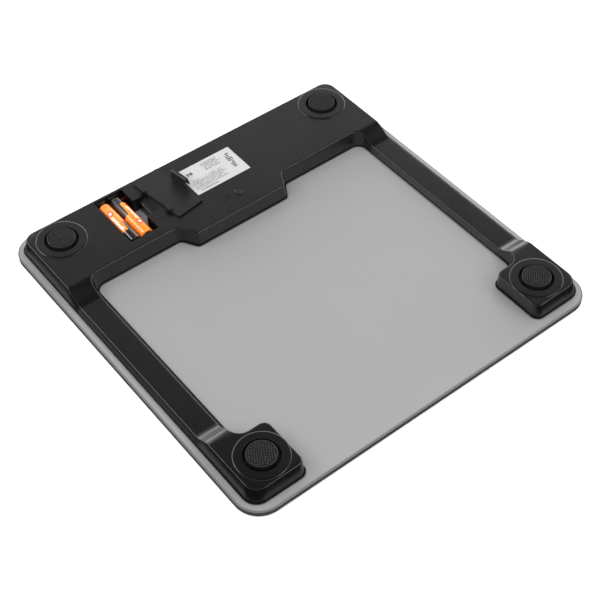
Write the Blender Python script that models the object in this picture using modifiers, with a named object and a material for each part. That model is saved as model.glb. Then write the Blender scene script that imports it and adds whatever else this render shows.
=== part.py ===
"""Digital bathroom scale with a tempered glass platform, lying on its platform with its feet up.

Metres, +Z up. The platform's face is on z = 0 and the underside of the scale looks up. +Y points to
the wide bar of the housing, which holds the electronics, and -Y to the two front pods.
"""

import math

import bmesh
import bpy
from mathutils import Matrix, Vector
from mathutils.geometry import delaunay_2d_cdt

MM = 0.001

# Platform
PLATFORM_WIDTH = 300 * MM
PLATFORM_DEPTH = 300 * MM
PLATFORM_CORNER = 19 * MM
GLASS_THICKNESS = 4.8 * MM
GLASS_CHAMFER = 0.6 * MM
PAINT_THICKNESS = 0.2 * MM
PAINT_MARGIN = 1.2 * MM

# Gaps
SKIN_GAP = 0.1 * MM
TOUCH_GAP = 0.3 * MM

# Housing
HOUSING_SIDE_MARGIN = 5.0 * MM
HOUSING_END_MARGIN = 6.5 * MM
TAPE_THICKNESS = 0.4 * MM
TAPE_WIDTH = 2.8 * MM
TAPE_INSET = 1.0 * MM
WALL = 1.8 * MM
FLANGE_WIDTH = 1.0 * MM
FLANGE_HEIGHT = 0.8 * MM
OUTER_DRAFT = 1.9 * MM
BAR_DRAFT = 3.2 * MM
POD_DRAFT = 0.3 * MM
EDGE_ROUND = 1.0 * MM
RAIL_WIDTH = 23.0 * MM
RAIL_TOP = 10.0 * MM
BULGE_DEPTH = 12.8 * MM
BULGE_FRONT_HALF = 41 * MM
BULGE_SLOPE = 7.5 * MM
POD_SIDE_SHOULDER = 5.6 * MM
POD_END_SHOULDER = 4.1 * MM
POD_INNER_SHOULDER = 1.4 * MM
POD_BACK_SHOULDER = 3.4 * MM
BACK_CORNER = 10 * MM
FRONT_CORNER = 11 * MM
POD_CORNER = 6.5 * MM
POD_FILLET = 9 * MM
BAR_FILLET = 7 * MM
BULGE_FILLET = 4 * MM
BACK_RAMP = 18 * MM
FRONT_RAMP = 17 * MM
FRONT_RAMP_SETBACK = 4 * MM
BACK_RAMP_SETBACK = 4 * MM
RAMP_MARGIN = 0.2 * MM
RAMP_CLEARANCE = 2 * MM
LEAST_FILLET = 0.4 * MM
SHARPEST_SMOOTH = math.radians(35)

# Feet and load cells
FOOT_TRAVEL = 0.8 * MM
PAD_RADIUS = 10.4 * MM
PAD_THICKNESS = 2.9 * MM
PAD_PROUD = 3.0 * MM
PAD_EDGE = 0.5 * MM
PAD_CLEARANCE = 2.2 * MM
WELL_STEP = 1.6 * MM
WELL_COLLAR = 4.0 * MM
WELL_TUBE_WALL = 1.8 * MM
DISC_RIM = 6.4 * MM
DISC_HEIGHT = 0.8 * MM
DISC_ROUND = 1.4 * MM
DISC_ROUND_STEPS = 5
DISC_SINK = 0.1 * MM
CUP_STEM_INSET = 1.0 * MM
CUP_FLANGE = 1.6 * MM
CUP_CLEARANCE = 0.6 * MM
PLUNGER_RADIUS = 3.0 * MM
CELL_SIZE = 32 * MM
CELL_PLATE = 1.2 * MM
CELL_HEIGHT = 3.2 * MM
CELL_RIM = 1.5 * MM
TONGUE_WIDTH = 14 * MM
TONGUE_LENGTH = 18 * MM
TONGUE_SLOT = 1.6 * MM
GAUGE_SIZE = 6 * MM
GAUGE_HEIGHT = 0.4 * MM

# Battery bay
BATTERY_DIAMETER = 10.2 * MM
BATTERY_LENGTH = 44.5 * MM
BATTERY_NUB_RADIUS = 1.9 * MM
BATTERY_NUB_LENGTH = 1.0 * MM
BATTERY_EDGE = 0.6 * MM
BATTERY_GAP = 0.4 * MM
BATTERY_HEADROOM = 0.15 * MM
LINER_THICKNESS = 0.15 * MM
LINER_MARGIN = 0.2 * MM
SPRING_ROOM = 3.95 * MM
NUB_ROOM = 2.45 * MM
BAY_LEFT_ROOM = 0.5 * MM
BAY_RIGHT_ROOM = 2.75 * MM
BAY_WALL = 1.5 * MM
BAY_FRONT_ROOM = 12.7 * MM
BAY_FROM_FOOT = 19.2 * MM
CONTACT_THICKNESS = 0.4 * MM
CONTACT_WIDTH = 8.4 * MM
CONTACT_HEIGHT = 8.0 * MM
CONTACT_BUMP_RADIUS = 2.2 * MM
CONTACT_BUMP_TIP_RADIUS = 1.54 * MM
SPRING_WIRE_RADIUS = 0.3 * MM
SPRING_OUTER_RADIUS = 3.4 * MM
SPRING_INNER_RADIUS = 1.6 * MM
SPRING_TURNS = 2.4

# Battery cover and the finger notch beside the bay
COVER_THICKNESS = 1.2 * MM
COVER_CLEARANCE = 0.28 * MM
HOOK_WIDTH = 6 * MM
HOOK_SPREAD = 28 * MM
HOOK_REACH = 1.6 * MM
HOOK_DROP = 2.2 * MM
HOOK_TAB = 1.0 * MM
LATCH_WIDTH = 15.7 * MM
LATCH_FLOOR = 1.0 * MM
LATCH_WALL = 1.1 * MM
LATCH_CREST = 3.0 * MM
LATCH_SPAN = 5.2 * MM
LATCH_TIP = 3.4 * MM
CATCH_HEIGHT = 1.0 * MM
CATCH_DROP = 5.4 * MM
CATCH_REACH = 0.7 * MM
NOTCH_WIDTH = 19 * MM
NOTCH_DISH = 7.2 * MM
NOTCH_DISH_DROP = 3.6 * MM
COVER_REST_X = -33.3 * MM
COVER_REST_BACK_INSET = 31.2 * MM
COVER_REST_TURN = math.radians(9)

# Display, circuit board and unit button
DISPLAY_BACK_INSET = 49.5 * MM
LCD_WIDTH = 66 * MM
LCD_DEPTH = 34 * MM
LCD_THICKNESS = 2.2 * MM
LCD_BORDER = 3.5 * MM
LCD_CLEARANCE = 0.3 * MM
FRAME_WALL = 4.7 * MM
FRAME_HEIGHT = 4.2 * MM
STRIP_DEPTH = 2.0 * MM
BOARD_THICKNESS = 1.2 * MM
SCREW_SHANK_RADIUS = 0.9 * MM
SCREW_HEAD_RADIUS = 1.8 * MM
SCREW_HEAD_HEIGHT = 1.0 * MM
SCREW_CLEARANCE = 0.3 * MM
SCREW_FROM_FLOOR = 1.5 * MM
CHIP_RADIUS = 5 * MM
CHIP_HEIGHT = 1.5 * MM
BUTTON_X = 9.5 * MM
BUTTON_BACK_INSET = 62.3 * MM
BUTTON_RADIUS = 3.0 * MM
BUTTON_CLEARANCE = 0.35 * MM
BUTTON_PROUD = 0.8 * MM
BUTTON_TRAVEL = 0.6 * MM
BUTTON_EDGE = 0.4 * MM
BUTTON_LIP = 1.1 * MM
BUTTON_LIP_HEIGHT = 0.4 * MM
BUTTON_RIM = 1.2 * MM
BUTTON_RIM_HEIGHT = 0.35 * MM
SWITCH_SIZE = 6 * MM
SWITCH_BODY = 1.4 * MM
SWITCH_PLUNGER_RADIUS = 1.6 * MM

# Label and wires
LABEL_WIDTH = 48.3 * MM
LABEL_DEPTH = 30 * MM
LABEL_THICKNESS = 0.12 * MM
LABEL_X = 7.8 * MM
LABEL_BACK_INSET = 32.3 * MM
CABLE_RADIUS = 0.8 * MM
CABLE_END_INSET = 6.5 * MM
CABLE_END_SPACING = 5.4 * MM
CABLE_LIFT = 0.2 * MM
CABLE_CELL_STUB = 5 * MM
CABLE_CELL_BEND = 8 * MM
CABLE_BOARD_STUB = 4 * MM
CABLE_BOARD_BEND = 9 * MM
CABLE_RAIL_BEND = 12 * MM
LEAD_RADIUS = 0.5 * MM
LEAD_HIGH = 2.0 * MM
LEAD_LOW = 0.3 * MM
LEAD_SETBACK = 0.1 * MM
LEAD_FROM_EDGE = 4 * MM
LEAD_BEND = 3 * MM

# Facets
CORNER_STEPS = 6
PLATFORM_STEPS = 14
ROUND_STEPS = 28
SMALL_STEPS = 16
COIL_STEPS = 12
RAMP_STEPS = 10
EDGE_STEPS = 3

# Levels and places that follow from the sizes above
PAINT_TOP = GLASS_THICKNESS + SKIN_GAP + PAINT_THICKNESS
HOUSING_BASE = PAINT_TOP + SKIN_GAP + TAPE_THICKNESS + SKIN_GAP
INSIDE_BASE = PAINT_TOP + TOUCH_GAP
BATTERY_BASE = PAINT_TOP + SKIN_GAP + LINER_THICKNESS + SKIN_GAP
BATTERY_AXIS_Z = BATTERY_BASE + BATTERY_DIAMETER / 2
HOUSING_TOP = BATTERY_BASE + BATTERY_DIAMETER + BATTERY_HEADROOM + COVER_THICKNESS
LATCH_HEIGHT = HOUSING_TOP - PAINT_TOP - LATCH_FLOOR
HOUSING_HALF_WIDTH = PLATFORM_WIDTH / 2 - HOUSING_SIDE_MARGIN
HOUSING_BACK = PLATFORM_DEPTH / 2 - HOUSING_END_MARGIN
HOUSING_FRONT = -HOUSING_BACK
BAY_BACK = HOUSING_BACK - TAPE_INSET - TAPE_WIDTH - TOUCH_GAP - BAY_WALL
BAY_FRONT = BAY_BACK - SPRING_ROOM - BATTERY_LENGTH - NUB_ROOM
BAR_FRONT = BAY_FRONT - BAY_FRONT_ROOM
RAIL_INNER = HOUSING_HALF_WIDTH - RAIL_WIDTH
WELL_RADIUS = PAD_RADIUS + PAD_CLEARANCE
DISC_RADIUS = WELL_RADIUS + DISC_RIM
CUP_STEM_RADIUS = PAD_RADIUS - CUP_STEM_INSET
FOOT_X = HOUSING_HALF_WIDTH - POD_SIDE_SHOULDER - DISC_RADIUS
FOOT_Y = HOUSING_BACK - POD_END_SHOULDER - DISC_RADIUS
POD_INNER = FOOT_X - DISC_RADIUS - POD_INNER_SHOULDER
POD_BACK = -FOOT_Y + DISC_RADIUS + POD_BACK_SHOULDER
FRONT_RAMP_LOW_Y = POD_BACK + FRONT_RAMP_SETBACK + FRONT_RAMP
BACK_RAMP_LOW_Y = BAR_FRONT + BACK_RAMP_SETBACK - BACK_RAMP
RAMP_NEAR_X = POD_INNER - RAMP_CLEARANCE
CELL_BASE = INSIDE_BASE
CELL_TOP = CELL_BASE + CELL_HEIGHT
WELL_COUNTERBORE = WELL_RADIUS + WELL_STEP
WELL_TUBE_RADIUS = WELL_COUNTERBORE + WELL_TUBE_WALL
PAD_TOP = HOUSING_TOP + PAD_PROUD
PAD_BASE = PAD_TOP - PAD_THICKNESS
CUP_TOP = PAD_BASE - TOUCH_GAP
CUP_BASE = CELL_TOP + TOUCH_GAP + FOOT_TRAVEL + TOUCH_GAP

BATTERY_SPACING = BATTERY_DIAMETER + BATTERY_GAP
BAY_WIDTH = BAY_LEFT_ROOM + BATTERY_DIAMETER + BATTERY_SPACING + BAY_RIGHT_ROOM
BAY_LEFT = -FOOT_X + DISC_RADIUS + BAY_FROM_FOOT
BAY_RIGHT = BAY_LEFT + BAY_WIDTH
BAY_X = (BAY_LEFT + BAY_RIGHT) / 2
LEFT_BATTERY_X = BAY_LEFT + BAY_LEFT_ROOM + BATTERY_DIAMETER / 2
RIGHT_BATTERY_X = LEFT_BATTERY_X + BATTERY_SPACING
BAY_Y = (BAY_BACK + BAY_FRONT) / 2
CONTACT_BASE = BATTERY_AXIS_Z - CONTACT_HEIGHT / 2
LEAD_Y = BAY_BACK - SKIN_GAP - CONTACT_THICKNESS - TOUCH_GAP - LEAD_RADIUS
COVER_WIDTH = BAY_WIDTH - 2 * COVER_CLEARANCE
COVER_LENGTH = BAY_BACK - BAY_FRONT - 2 * COVER_CLEARANCE
LATCH_INNER = COVER_WIDTH / 2 - TOUCH_GAP
NOTCH_RIGHT = BAY_X + LATCH_INNER + LATCH_SPAN + TOUCH_GAP
NOTCH_DISH_RIGHT = NOTCH_RIGHT + NOTCH_DISH

DISPLAY_Y = HOUSING_BACK - DISPLAY_BACK_INSET
LCD_BASE = PAINT_TOP + TOUCH_GAP
FRAME_BASE = INSIDE_BASE
FRAME_TOP = FRAME_BASE + FRAME_HEIGHT
FRAME_HALF_X = LCD_WIDTH / 2 + LCD_CLEARANCE + FRAME_WALL
FRAME_HALF_Y = LCD_DEPTH / 2 + LCD_CLEARANCE + FRAME_WALL
BOARD_BASE = FRAME_TOP + TOUCH_GAP
BOARD_TOP = BOARD_BASE + BOARD_THICKNESS
BUTTON_Y = HOUSING_BACK - BUTTON_BACK_INSET
BUTTON_BASE = HOUSING_TOP - WALL - TOUCH_GAP - BUTTON_LIP_HEIGHT
SWITCH_TOP = BUTTON_BASE - BUTTON_TRAVEL - TOUCH_GAP

FOOT_PLACES = {
    "back_left": (-FOOT_X, FOOT_Y),
    "back_right": (FOOT_X, FOOT_Y),
    "front_left": (-FOOT_X, -FOOT_Y),
    "front_right": (FOOT_X, -FOOT_Y),
}


def clear_scene():
    for obj in list(bpy.data.objects):
        bpy.data.objects.remove(obj, do_unlink=True)


clear_scene()
PARTS = bpy.data.collections.new("bathroom_scale")
CUTTERS = bpy.data.collections.new("cutters")
bpy.context.scene.collection.children.link(PARTS)
bpy.context.scene.collection.children.link(CUTTERS)


# ---------------------------------------------------------------- helpers

def material(name, colour, roughness, metallic=0.0):
    """Return a Principled material of one colour."""
    mat = bpy.data.materials.new(name)
    mat.use_nodes = True
    shader = mat.node_tree.nodes["Principled BSDF"]
    shader.inputs["Base Color"].default_value = (*colour, 1.0)
    shader.inputs["Roughness"].default_value = roughness
    shader.inputs["Metallic"].default_value = metallic
    mat.diffuse_color = (*colour, 1.0)
    return mat


def finish_mesh(name, bm):
    """Turn a bmesh into a mesh with its faces pointing out and its round sides smooth."""
    bmesh.ops.recalc_face_normals(bm, faces=bm.faces)
    mesh = bpy.data.meshes.new(name)
    bm.to_mesh(mesh)
    bm.free()
    mesh.shade_smooth()
    mesh.set_sharp_from_angle(angle=SHARPEST_SMOOTH)
    return mesh


def add_part(name, mesh, look, place=(0, 0, 0)):
    """Link a visible piece with its own material."""
    obj = bpy.data.objects.new(name, mesh)
    mesh.materials.append(material(name, *look))
    obj.location = place
    PARTS.objects.link(obj)
    return obj


def add_cutter(name, mesh, place=(0, 0, 0)):
    """Link a guide solid that only cuts or joins."""
    obj = bpy.data.objects.new(name, mesh)
    obj.location = place
    obj.hide_render = True
    obj.display_type = "WIRE"
    CUTTERS.objects.link(obj)
    return obj


def combine(obj, other, operation):
    """Cut, join or intersect obj with another solid."""
    modifier = obj.modifiers.new(f"{operation.lower()}_{other.name}", "BOOLEAN")
    modifier.operation = operation
    modifier.solver = "EXACT"
    modifier.object = other


def cut(obj, other):
    combine(obj, other, "DIFFERENCE")


def join(obj, other):
    combine(obj, other, "UNION")


def box_mesh(name, low, high):
    """A box between two corners."""
    low = Vector(low)
    high = Vector(high)
    size = high - low
    bm = bmesh.new()
    matrix = Matrix.Translation((low + high) / 2) @ Matrix.Diagonal((*size, 1.0))
    bmesh.ops.create_cube(bm, size=1.0, matrix=matrix)
    return finish_mesh(name, bm)


def cone_mesh(name, low_radius, high_radius, low, high, steps=ROUND_STEPS):
    """A cylinder or cone about Z between two heights."""
    bm = bmesh.new()
    bmesh.ops.create_cone(
        bm,
        cap_ends=True,
        segments=steps,
        radius1=low_radius,
        radius2=high_radius,
        depth=high - low,
        matrix=Matrix.Translation((0, 0, (low + high) / 2)),
    )
    return finish_mesh(name, bm)


def cap_from_above(bm, loop):
    """Fill a closed loop whose height varies with triangles between near points."""
    flat = [vert.co.xy for vert in loop]
    found = delaunay_2d_cdt(flat, [], [list(range(len(loop)))], 1, 1e-7)
    triangles, sources = found[2], found[3]
    for triangle in triangles:
        bm.faces.new([loop[sources[i][0]] for i in triangle])


def loft_mesh(name, rings, flat_top=True):
    """A closed solid through rings that have the same number of points, lowest ring first."""
    bm = bmesh.new()
    loops = [[bm.verts.new(point) for point in ring] for ring in rings]
    count = len(loops[0])
    for lower, upper in zip(loops, loops[1:]):
        for i in range(count):
            j = (i + 1) % count
            bm.faces.new((lower[i], lower[j], upper[j], upper[i]))
    bm.faces.new(list(reversed(loops[0])))
    if flat_top:
        bm.faces.new(loops[-1])
    else:
        cap_from_above(bm, loops[-1])
    return finish_mesh(name, bm)


def prism_along_y(name, outline, low_y, high_y):
    """An outline of (x, z) points pushed along Y."""
    return loft_mesh(name, [[(x, y, z) for x, z in outline] for y in (low_y, high_y)])


def turned(obj, steps=ROUND_STEPS):
    """Spin a profile about the object's Z axis."""
    screw = obj.modifiers.new("spin", "SCREW")
    screw.axis = "Z"
    screw.steps = steps
    screw.render_steps = steps
    screw.use_merge_vertices = True
    screw.merge_threshold = 0.00001
    screw.use_smooth_shade = False


def profile_mesh(name, points):
    """An open profile of (radius, height) points, down the outer side from top to bottom."""
    bm = bmesh.new()
    verts = [bm.verts.new((radius, 0, height)) for radius, height in points]
    for first, second in zip(verts, verts[1:]):
        bm.edges.new((first, second))
    mesh = bpy.data.meshes.new(name)
    bm.to_mesh(mesh)
    bm.free()
    return mesh


def tube(name, points, radius, look, sides=2):
    """A wire along points, as a curve with closed ends."""
    curve = bpy.data.curves.new(name, "CURVE")
    curve.dimensions = "3D"
    curve.bevel_depth = radius
    curve.bevel_resolution = sides
    curve.use_fill_caps = True
    spline = curve.splines.new("POLY")
    spline.points.add(len(points) - 1)
    for target, point in zip(spline.points, points):
        target.co = (*point, 1.0)
    curve.materials.append(material(name, *look))
    obj = bpy.data.objects.new(name, curve)
    PARTS.objects.link(obj)
    return obj


def smooth_route(points, rounds=2):
    """Round the corners of a route by cutting each one twice."""
    route = [Vector(point) for point in points]
    for _ in range(rounds):
        finer = [route[0]]
        for first, second in zip(route, route[1:]):
            finer.append(first.lerp(second, 0.25))
            finer.append(first.lerp(second, 0.75))
        finer.append(route[-1])
        route = finer
    return route


def offset_corners(corners, inset):
    """Move each edge of a counter-clockwise polygon inwards, keeping each corner's fillet in step."""
    moved = []
    count = len(corners)
    for i in range(count):
        before = Vector(corners[i - 1][:2])
        here = Vector(corners[i][:2])
        after = Vector(corners[(i + 1) % count][:2])
        first = (here - before).normalized()
        second = (after - here).normalized()
        first_normal = Vector((-first.y, first.x))
        second_normal = Vector((-second.y, second.x))
        turn = first.x * second.y - first.y * second.x
        shift = (first_normal + second_normal) * inset / (1 + first_normal.dot(second_normal))
        radius = corners[i][2] - inset if turn > 0 else corners[i][2] + inset
        moved.append((here.x + shift.x, here.y + shift.y, max(radius, LEAST_FILLET)))
    return moved


def filleted(corners, inset=0.0, steps=CORNER_STEPS, stops=()):
    """Points of a closed outline with each corner rounded by an arc.

    stops are (corner, y) places that get a point on the straight side after that corner.
    """
    moved = offset_corners(corners, inset)
    points = []
    count = len(moved)
    for i in range(count):
        before = Vector(moved[i - 1][:2])
        here = Vector(moved[i][:2])
        after = Vector(moved[(i + 1) % count][:2])
        back = (before - here).normalized()
        ahead = (after - here).normalized()
        half_angle = back.angle(ahead) / 2
        reach = moved[i][2] / math.tan(half_angle)
        centre = here + (back + ahead).normalized() * (moved[i][2] / math.sin(half_angle))
        start = here + back * reach - centre
        sweep = (here + ahead * reach - centre).angle_signed(start)
        for step in range(steps + 1):
            angle = sweep * step / steps
            turned_arm = Matrix.Rotation(angle, 2) @ start
            points.append(centre + turned_arm)
        side = [y for corner, y in stops if corner == i]
        points += [Vector((here.x, y)) for y in sorted(side, reverse=after.y < here.y)]
    return points


def ring(points, height):
    return [(point.x, point.y, height) for point in points]


def circle(radius, height, steps=2 * ROUND_STEPS):
    angles = [math.tau * i / steps for i in range(steps)]
    return [(radius * math.cos(a), radius * math.sin(a), height) for a in angles]


def mirrored_outline(right_half):
    """A whole outline from the corners of its right half, which run from front to back."""
    left_half = [(-x, y, radius) for x, y, radius in reversed(right_half)]
    return right_half + left_half


# ---------------------------------------------------------------- platform

def platform_corners():
    half_x = PLATFORM_WIDTH / 2
    half_y = PLATFORM_DEPTH / 2
    right = [(half_x, -half_y, PLATFORM_CORNER), (half_x, half_y, PLATFORM_CORNER)]
    return mirrored_outline(right)


def build_glass():
    corners = platform_corners()
    rings = [
        ring(filleted(corners, GLASS_CHAMFER, PLATFORM_STEPS), 0),
        ring(filleted(corners, 0.0, PLATFORM_STEPS), GLASS_CHAMFER),
        ring(filleted(corners, 0.0, PLATFORM_STEPS), GLASS_THICKNESS - GLASS_CHAMFER),
        ring(filleted(corners, GLASS_CHAMFER, PLATFORM_STEPS), GLASS_THICKNESS),
    ]
    look = ((0.12, 0.15, 0.14), 0.05)
    add_part("glass_platform", loft_mesh("glass_platform", rings), look)


def build_paint():
    """The silver paint behind the glass, with a clear window over the display."""
    outline = filleted(platform_corners(), PAINT_MARGIN, PLATFORM_STEPS)
    base = GLASS_THICKNESS + SKIN_GAP
    mesh = loft_mesh("silver_backing", [ring(outline, base), ring(outline, PAINT_TOP)])
    paint = add_part("silver_backing", mesh, ((0.42, 0.42, 0.43), 0.45, 0.3))
    half_x = LCD_WIDTH / 2 - LCD_BORDER
    half_y = LCD_DEPTH / 2 - LCD_BORDER
    window = box_mesh(
        "display_window",
        (-half_x, DISPLAY_Y - half_y, base - MM),
        (half_x, DISPLAY_Y + half_y, PAINT_TOP + MM),
    )
    cut(paint, add_cutter("display_window", window))


# ---------------------------------------------------------------- housing

def housing_corners(rise=0.0):
    """Outline of the housing: a wide bar with a bulge, two rails and two pods.

    rise is 0 at the foot of the walls and 1 at their top, and each wall leans by its own draft.
    """
    outer_x = HOUSING_HALF_WIDTH - OUTER_DRAFT * rise
    back = HOUSING_BACK - OUTER_DRAFT * rise
    front = HOUSING_FRONT + OUTER_DRAFT * rise
    bar_front = BAR_FRONT + BAR_DRAFT * rise
    bulge_front = BAR_FRONT - BULGE_DEPTH + OUTER_DRAFT * rise
    rail_inner = RAIL_INNER + OUTER_DRAFT * rise
    pod_inner = POD_INNER + POD_DRAFT * rise
    pod_back = POD_BACK - POD_DRAFT * rise
    right = [
        (BULGE_FRONT_HALF, bulge_front, BULGE_FILLET),
        (BULGE_FRONT_HALF + BULGE_SLOPE, bar_front, BULGE_FILLET),
        (rail_inner, bar_front, BAR_FILLET),
        (rail_inner, pod_back, POD_FILLET),
        (pod_inner, pod_back, POD_CORNER),
        (pod_inner, front, POD_CORNER),
        (outer_x, front, FRONT_CORNER),
        (outer_x, back, BACK_CORNER),
    ]
    return mirrored_outline(right)


def s_curve(share):
    """Rise of a smooth S at a share of its run, level at both ends."""
    return (1 - math.cos(math.pi * min(max(share, 0.0), 1.0))) / 2


def top_height(x, y):
    """Height of the housing's top: the rails lie low, between a ramp at each end."""
    if abs(x) < RAMP_NEAR_X:
        return HOUSING_TOP
    front_rise = s_curve((FRONT_RAMP_LOW_Y - y) / FRONT_RAMP)
    back_rise = s_curve((y - BACK_RAMP_LOW_Y) / BACK_RAMP)
    return RAIL_TOP + (HOUSING_TOP - RAIL_TOP) * max(front_rise, back_rise)


def rail_stops():
    """Where the rails' long sides need points, so that they follow the ramps."""
    levels = [FRONT_RAMP_LOW_Y - FRONT_RAMP * step / RAMP_STEPS for step in range(RAMP_STEPS + 1)]
    levels += [BACK_RAMP_LOW_Y + BACK_RAMP * step / RAMP_STEPS for step in range(RAMP_STEPS + 1)]
    inner_low = POD_BACK + POD_FILLET + RAMP_MARGIN
    inner_high = BAR_FRONT - BAR_FILLET - RAMP_MARGIN
    inner = [y for y in levels if inner_low < y < inner_high]
    corners = housing_corners()
    sides = {}
    for i, (x, y, _) in enumerate(corners):
        after_x = corners[(i + 1) % len(corners)][0]
        if x == after_x and abs(x) == HOUSING_HALF_WIDTH:
            sides[i] = levels
        elif x == after_x and abs(x) == RAIL_INNER:
            sides[i] = inner
    return [(i, y) for i, side in sides.items() for y in side]


def housing_solid(name, inset, edge_round, drop, base, flange=0.0):
    """A solid inside the housing's outline by inset, drop below its top, with a rounded top edge.

    With a flange it is wider by that much at its foot.
    """
    foot = housing_corners()
    top = housing_corners(1.0)
    stops = rail_stops()
    flange_top = HOUSING_BASE + FLANGE_HEIGHT
    wall = ring(filleted(foot, inset, stops=stops), flange_top)
    if flange:
        wide = filleted(foot, inset - flange, stops=stops)
        rings = [ring(wide, base), ring(wide, flange_top), wall]
    else:
        rings = [ring(filleted(foot, inset, stops=stops), base), wall]
    round_steps = EDGE_STEPS if edge_round else 0
    for step in range(round_steps + 1):
        angle = math.pi / 2 * step / EDGE_STEPS
        outline = filleted(top, inset + edge_round * (1 - math.cos(angle)), stops=stops)
        below = drop + edge_round * (1 - math.sin(angle))
        rings.append([(p.x, p.y, top_height(p.x, p.y) - below) for p in outline])
    return loft_mesh(name, rings, flat_top=False)


def build_shell():
    """The housing's walls: its outside with the flange at its foot, and its hollow."""
    outside = housing_solid("housing", FLANGE_WIDTH, EDGE_ROUND, 0.0, HOUSING_BASE, FLANGE_WIDTH)
    housing = add_part("housing", outside, ((0.018, 0.018, 0.02), 0.35))
    hollow = housing_solid("housing_hollow", FLANGE_WIDTH + WALL, 0.0, WALL, PAINT_TOP)
    cut(housing, add_cutter("housing_hollow", hollow))
    return housing


def notch_dish():
    """The sloped finger dish, a wedge that rises away from the bay."""
    low = HOUSING_TOP - NOTCH_DISH_DROP
    high = HOUSING_TOP + MM
    slope = NOTCH_DISH_DROP / NOTCH_DISH
    half = NOTCH_WIDTH / 2
    outline = [
        (NOTCH_RIGHT - MM, low),
        (NOTCH_RIGHT, low),
        (NOTCH_DISH_RIGHT + MM / slope, high),
        (NOTCH_RIGHT - MM, high),
    ]
    return add_cutter("notch_dish", prism_along_y("notch_dish", outline, BAY_Y - half, BAY_Y + half))


def add_bay(housing):
    """Walls of the battery bay and the finger notch, with the slots that hold the cover."""
    walls = box_mesh(
        "bay_walls",
        (BAY_LEFT - BAY_WALL, BAY_FRONT - BAY_WALL, INSIDE_BASE),
        (BAY_RIGHT + BAY_WALL, BAY_BACK + BAY_WALL, HOUSING_TOP - WALL / 2),
    )
    join(housing, add_cutter("bay_walls", walls))
    notch_half = NOTCH_WIDTH / 2
    notch = box_mesh(
        "notch_walls",
        (BAY_RIGHT, BAY_Y - notch_half - BAY_WALL, INSIDE_BASE),
        (NOTCH_DISH_RIGHT + BAY_WALL, BAY_Y + notch_half + BAY_WALL, HOUSING_TOP - WALL / 2),
    )
    join(housing, add_cutter("notch_walls", notch))
    bay = box_mesh(
        "bay_space",
        (BAY_LEFT, BAY_FRONT, PAINT_TOP),
        (BAY_RIGHT, BAY_BACK, HOUSING_TOP + MM),
    )
    cut(housing, add_cutter("bay_space", bay))
    shaft = box_mesh(
        "notch_shaft",
        (BAY_RIGHT - MM, BAY_Y - notch_half, PAINT_TOP),
        (NOTCH_RIGHT, BAY_Y + notch_half, HOUSING_TOP + MM),
    )
    cut(housing, add_cutter("notch_shaft", shaft))
    cut(housing, notch_dish())
    catch_top = HOUSING_TOP - CATCH_DROP + TOUCH_GAP
    catch = box_mesh(
        "catch_slot",
        (NOTCH_RIGHT - MM, BAY_Y - LATCH_WIDTH / 2 - TOUCH_GAP, catch_top - CATCH_HEIGHT - 2 * TOUCH_GAP),
        (NOTCH_RIGHT + CATCH_REACH, BAY_Y + LATCH_WIDTH / 2 + TOUCH_GAP, catch_top),
    )
    cut(housing, add_cutter("catch_slot", catch))
    hook_high = HOUSING_TOP - COVER_THICKNESS - HOOK_DROP + HOOK_TAB
    for offset in (-HOOK_SPREAD / 2, HOOK_SPREAD / 2):
        name = "hook_slot_front" if offset < 0 else "hook_slot_back"
        slot = box_mesh(
            name,
            (BAY_LEFT - HOOK_REACH - TOUCH_GAP, BAY_Y + offset - HOOK_WIDTH / 2 - TOUCH_GAP,
             hook_high - HOOK_TAB - TOUCH_GAP),
            (BAY_LEFT + MM, BAY_Y + offset + HOOK_WIDTH / 2 + TOUCH_GAP, hook_high + SKIN_GAP),
        )
        cut(housing, add_cutter(name, slot))
    lead_slot = box_mesh(
        "lead_slot",
        (BAY_RIGHT - MM, LEAD_Y - LEAD_RADIUS - TOUCH_GAP, INSIDE_BASE - MM),
        (BAY_RIGHT + BAY_WALL + MM, LEAD_Y + LEAD_RADIUS + TOUCH_GAP,
         CONTACT_BASE + LEAD_HIGH + LEAD_RADIUS + TOUCH_GAP),
    )
    cut(housing, add_cutter("lead_slot", lead_slot))


def add_foot_wells(housing):
    """A raised disc with a rounded edge, a tube and a stepped hole at each foot."""
    disc_rings = [circle(DISC_RADIUS, HOUSING_TOP - WALL / 2)]
    for step in range(DISC_ROUND_STEPS + 1):
        angle = math.pi / 2 * step / DISC_ROUND_STEPS
        radius = DISC_RADIUS - DISC_ROUND * (1 - math.cos(angle))
        rise = (DISC_HEIGHT + DISC_SINK) * math.sin(angle) - DISC_SINK
        disc_rings.append(circle(radius, HOUSING_TOP + rise))
    for corner, (x, y) in FOOT_PLACES.items():
        disc = loft_mesh(f"disc_{corner}", disc_rings)
        join(housing, add_cutter(f"disc_{corner}", disc, (x, y, 0)))
        well = cone_mesh(
            f"well_{corner}", WELL_TUBE_RADIUS, WELL_TUBE_RADIUS, CELL_TOP + TOUCH_GAP,
            HOUSING_TOP - WALL / 2,
        )
        join(housing, add_cutter(f"well_{corner}", well, (x, y, 0)))
        hole = cone_mesh(
            f"hole_{corner}", WELL_RADIUS, WELL_RADIUS, CELL_TOP, HOUSING_TOP + 2 * MM,
        )
        cut(housing, add_cutter(f"hole_{corner}", hole, (x, y, 0)))
        counterbore = cone_mesh(
            f"counterbore_{corner}", WELL_COUNTERBORE, WELL_COUNTERBORE, CELL_TOP,
            HOUSING_TOP - WELL_COLLAR,
        )
        cut(housing, add_cutter(f"counterbore_{corner}", counterbore, (x, y, 0)))


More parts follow.
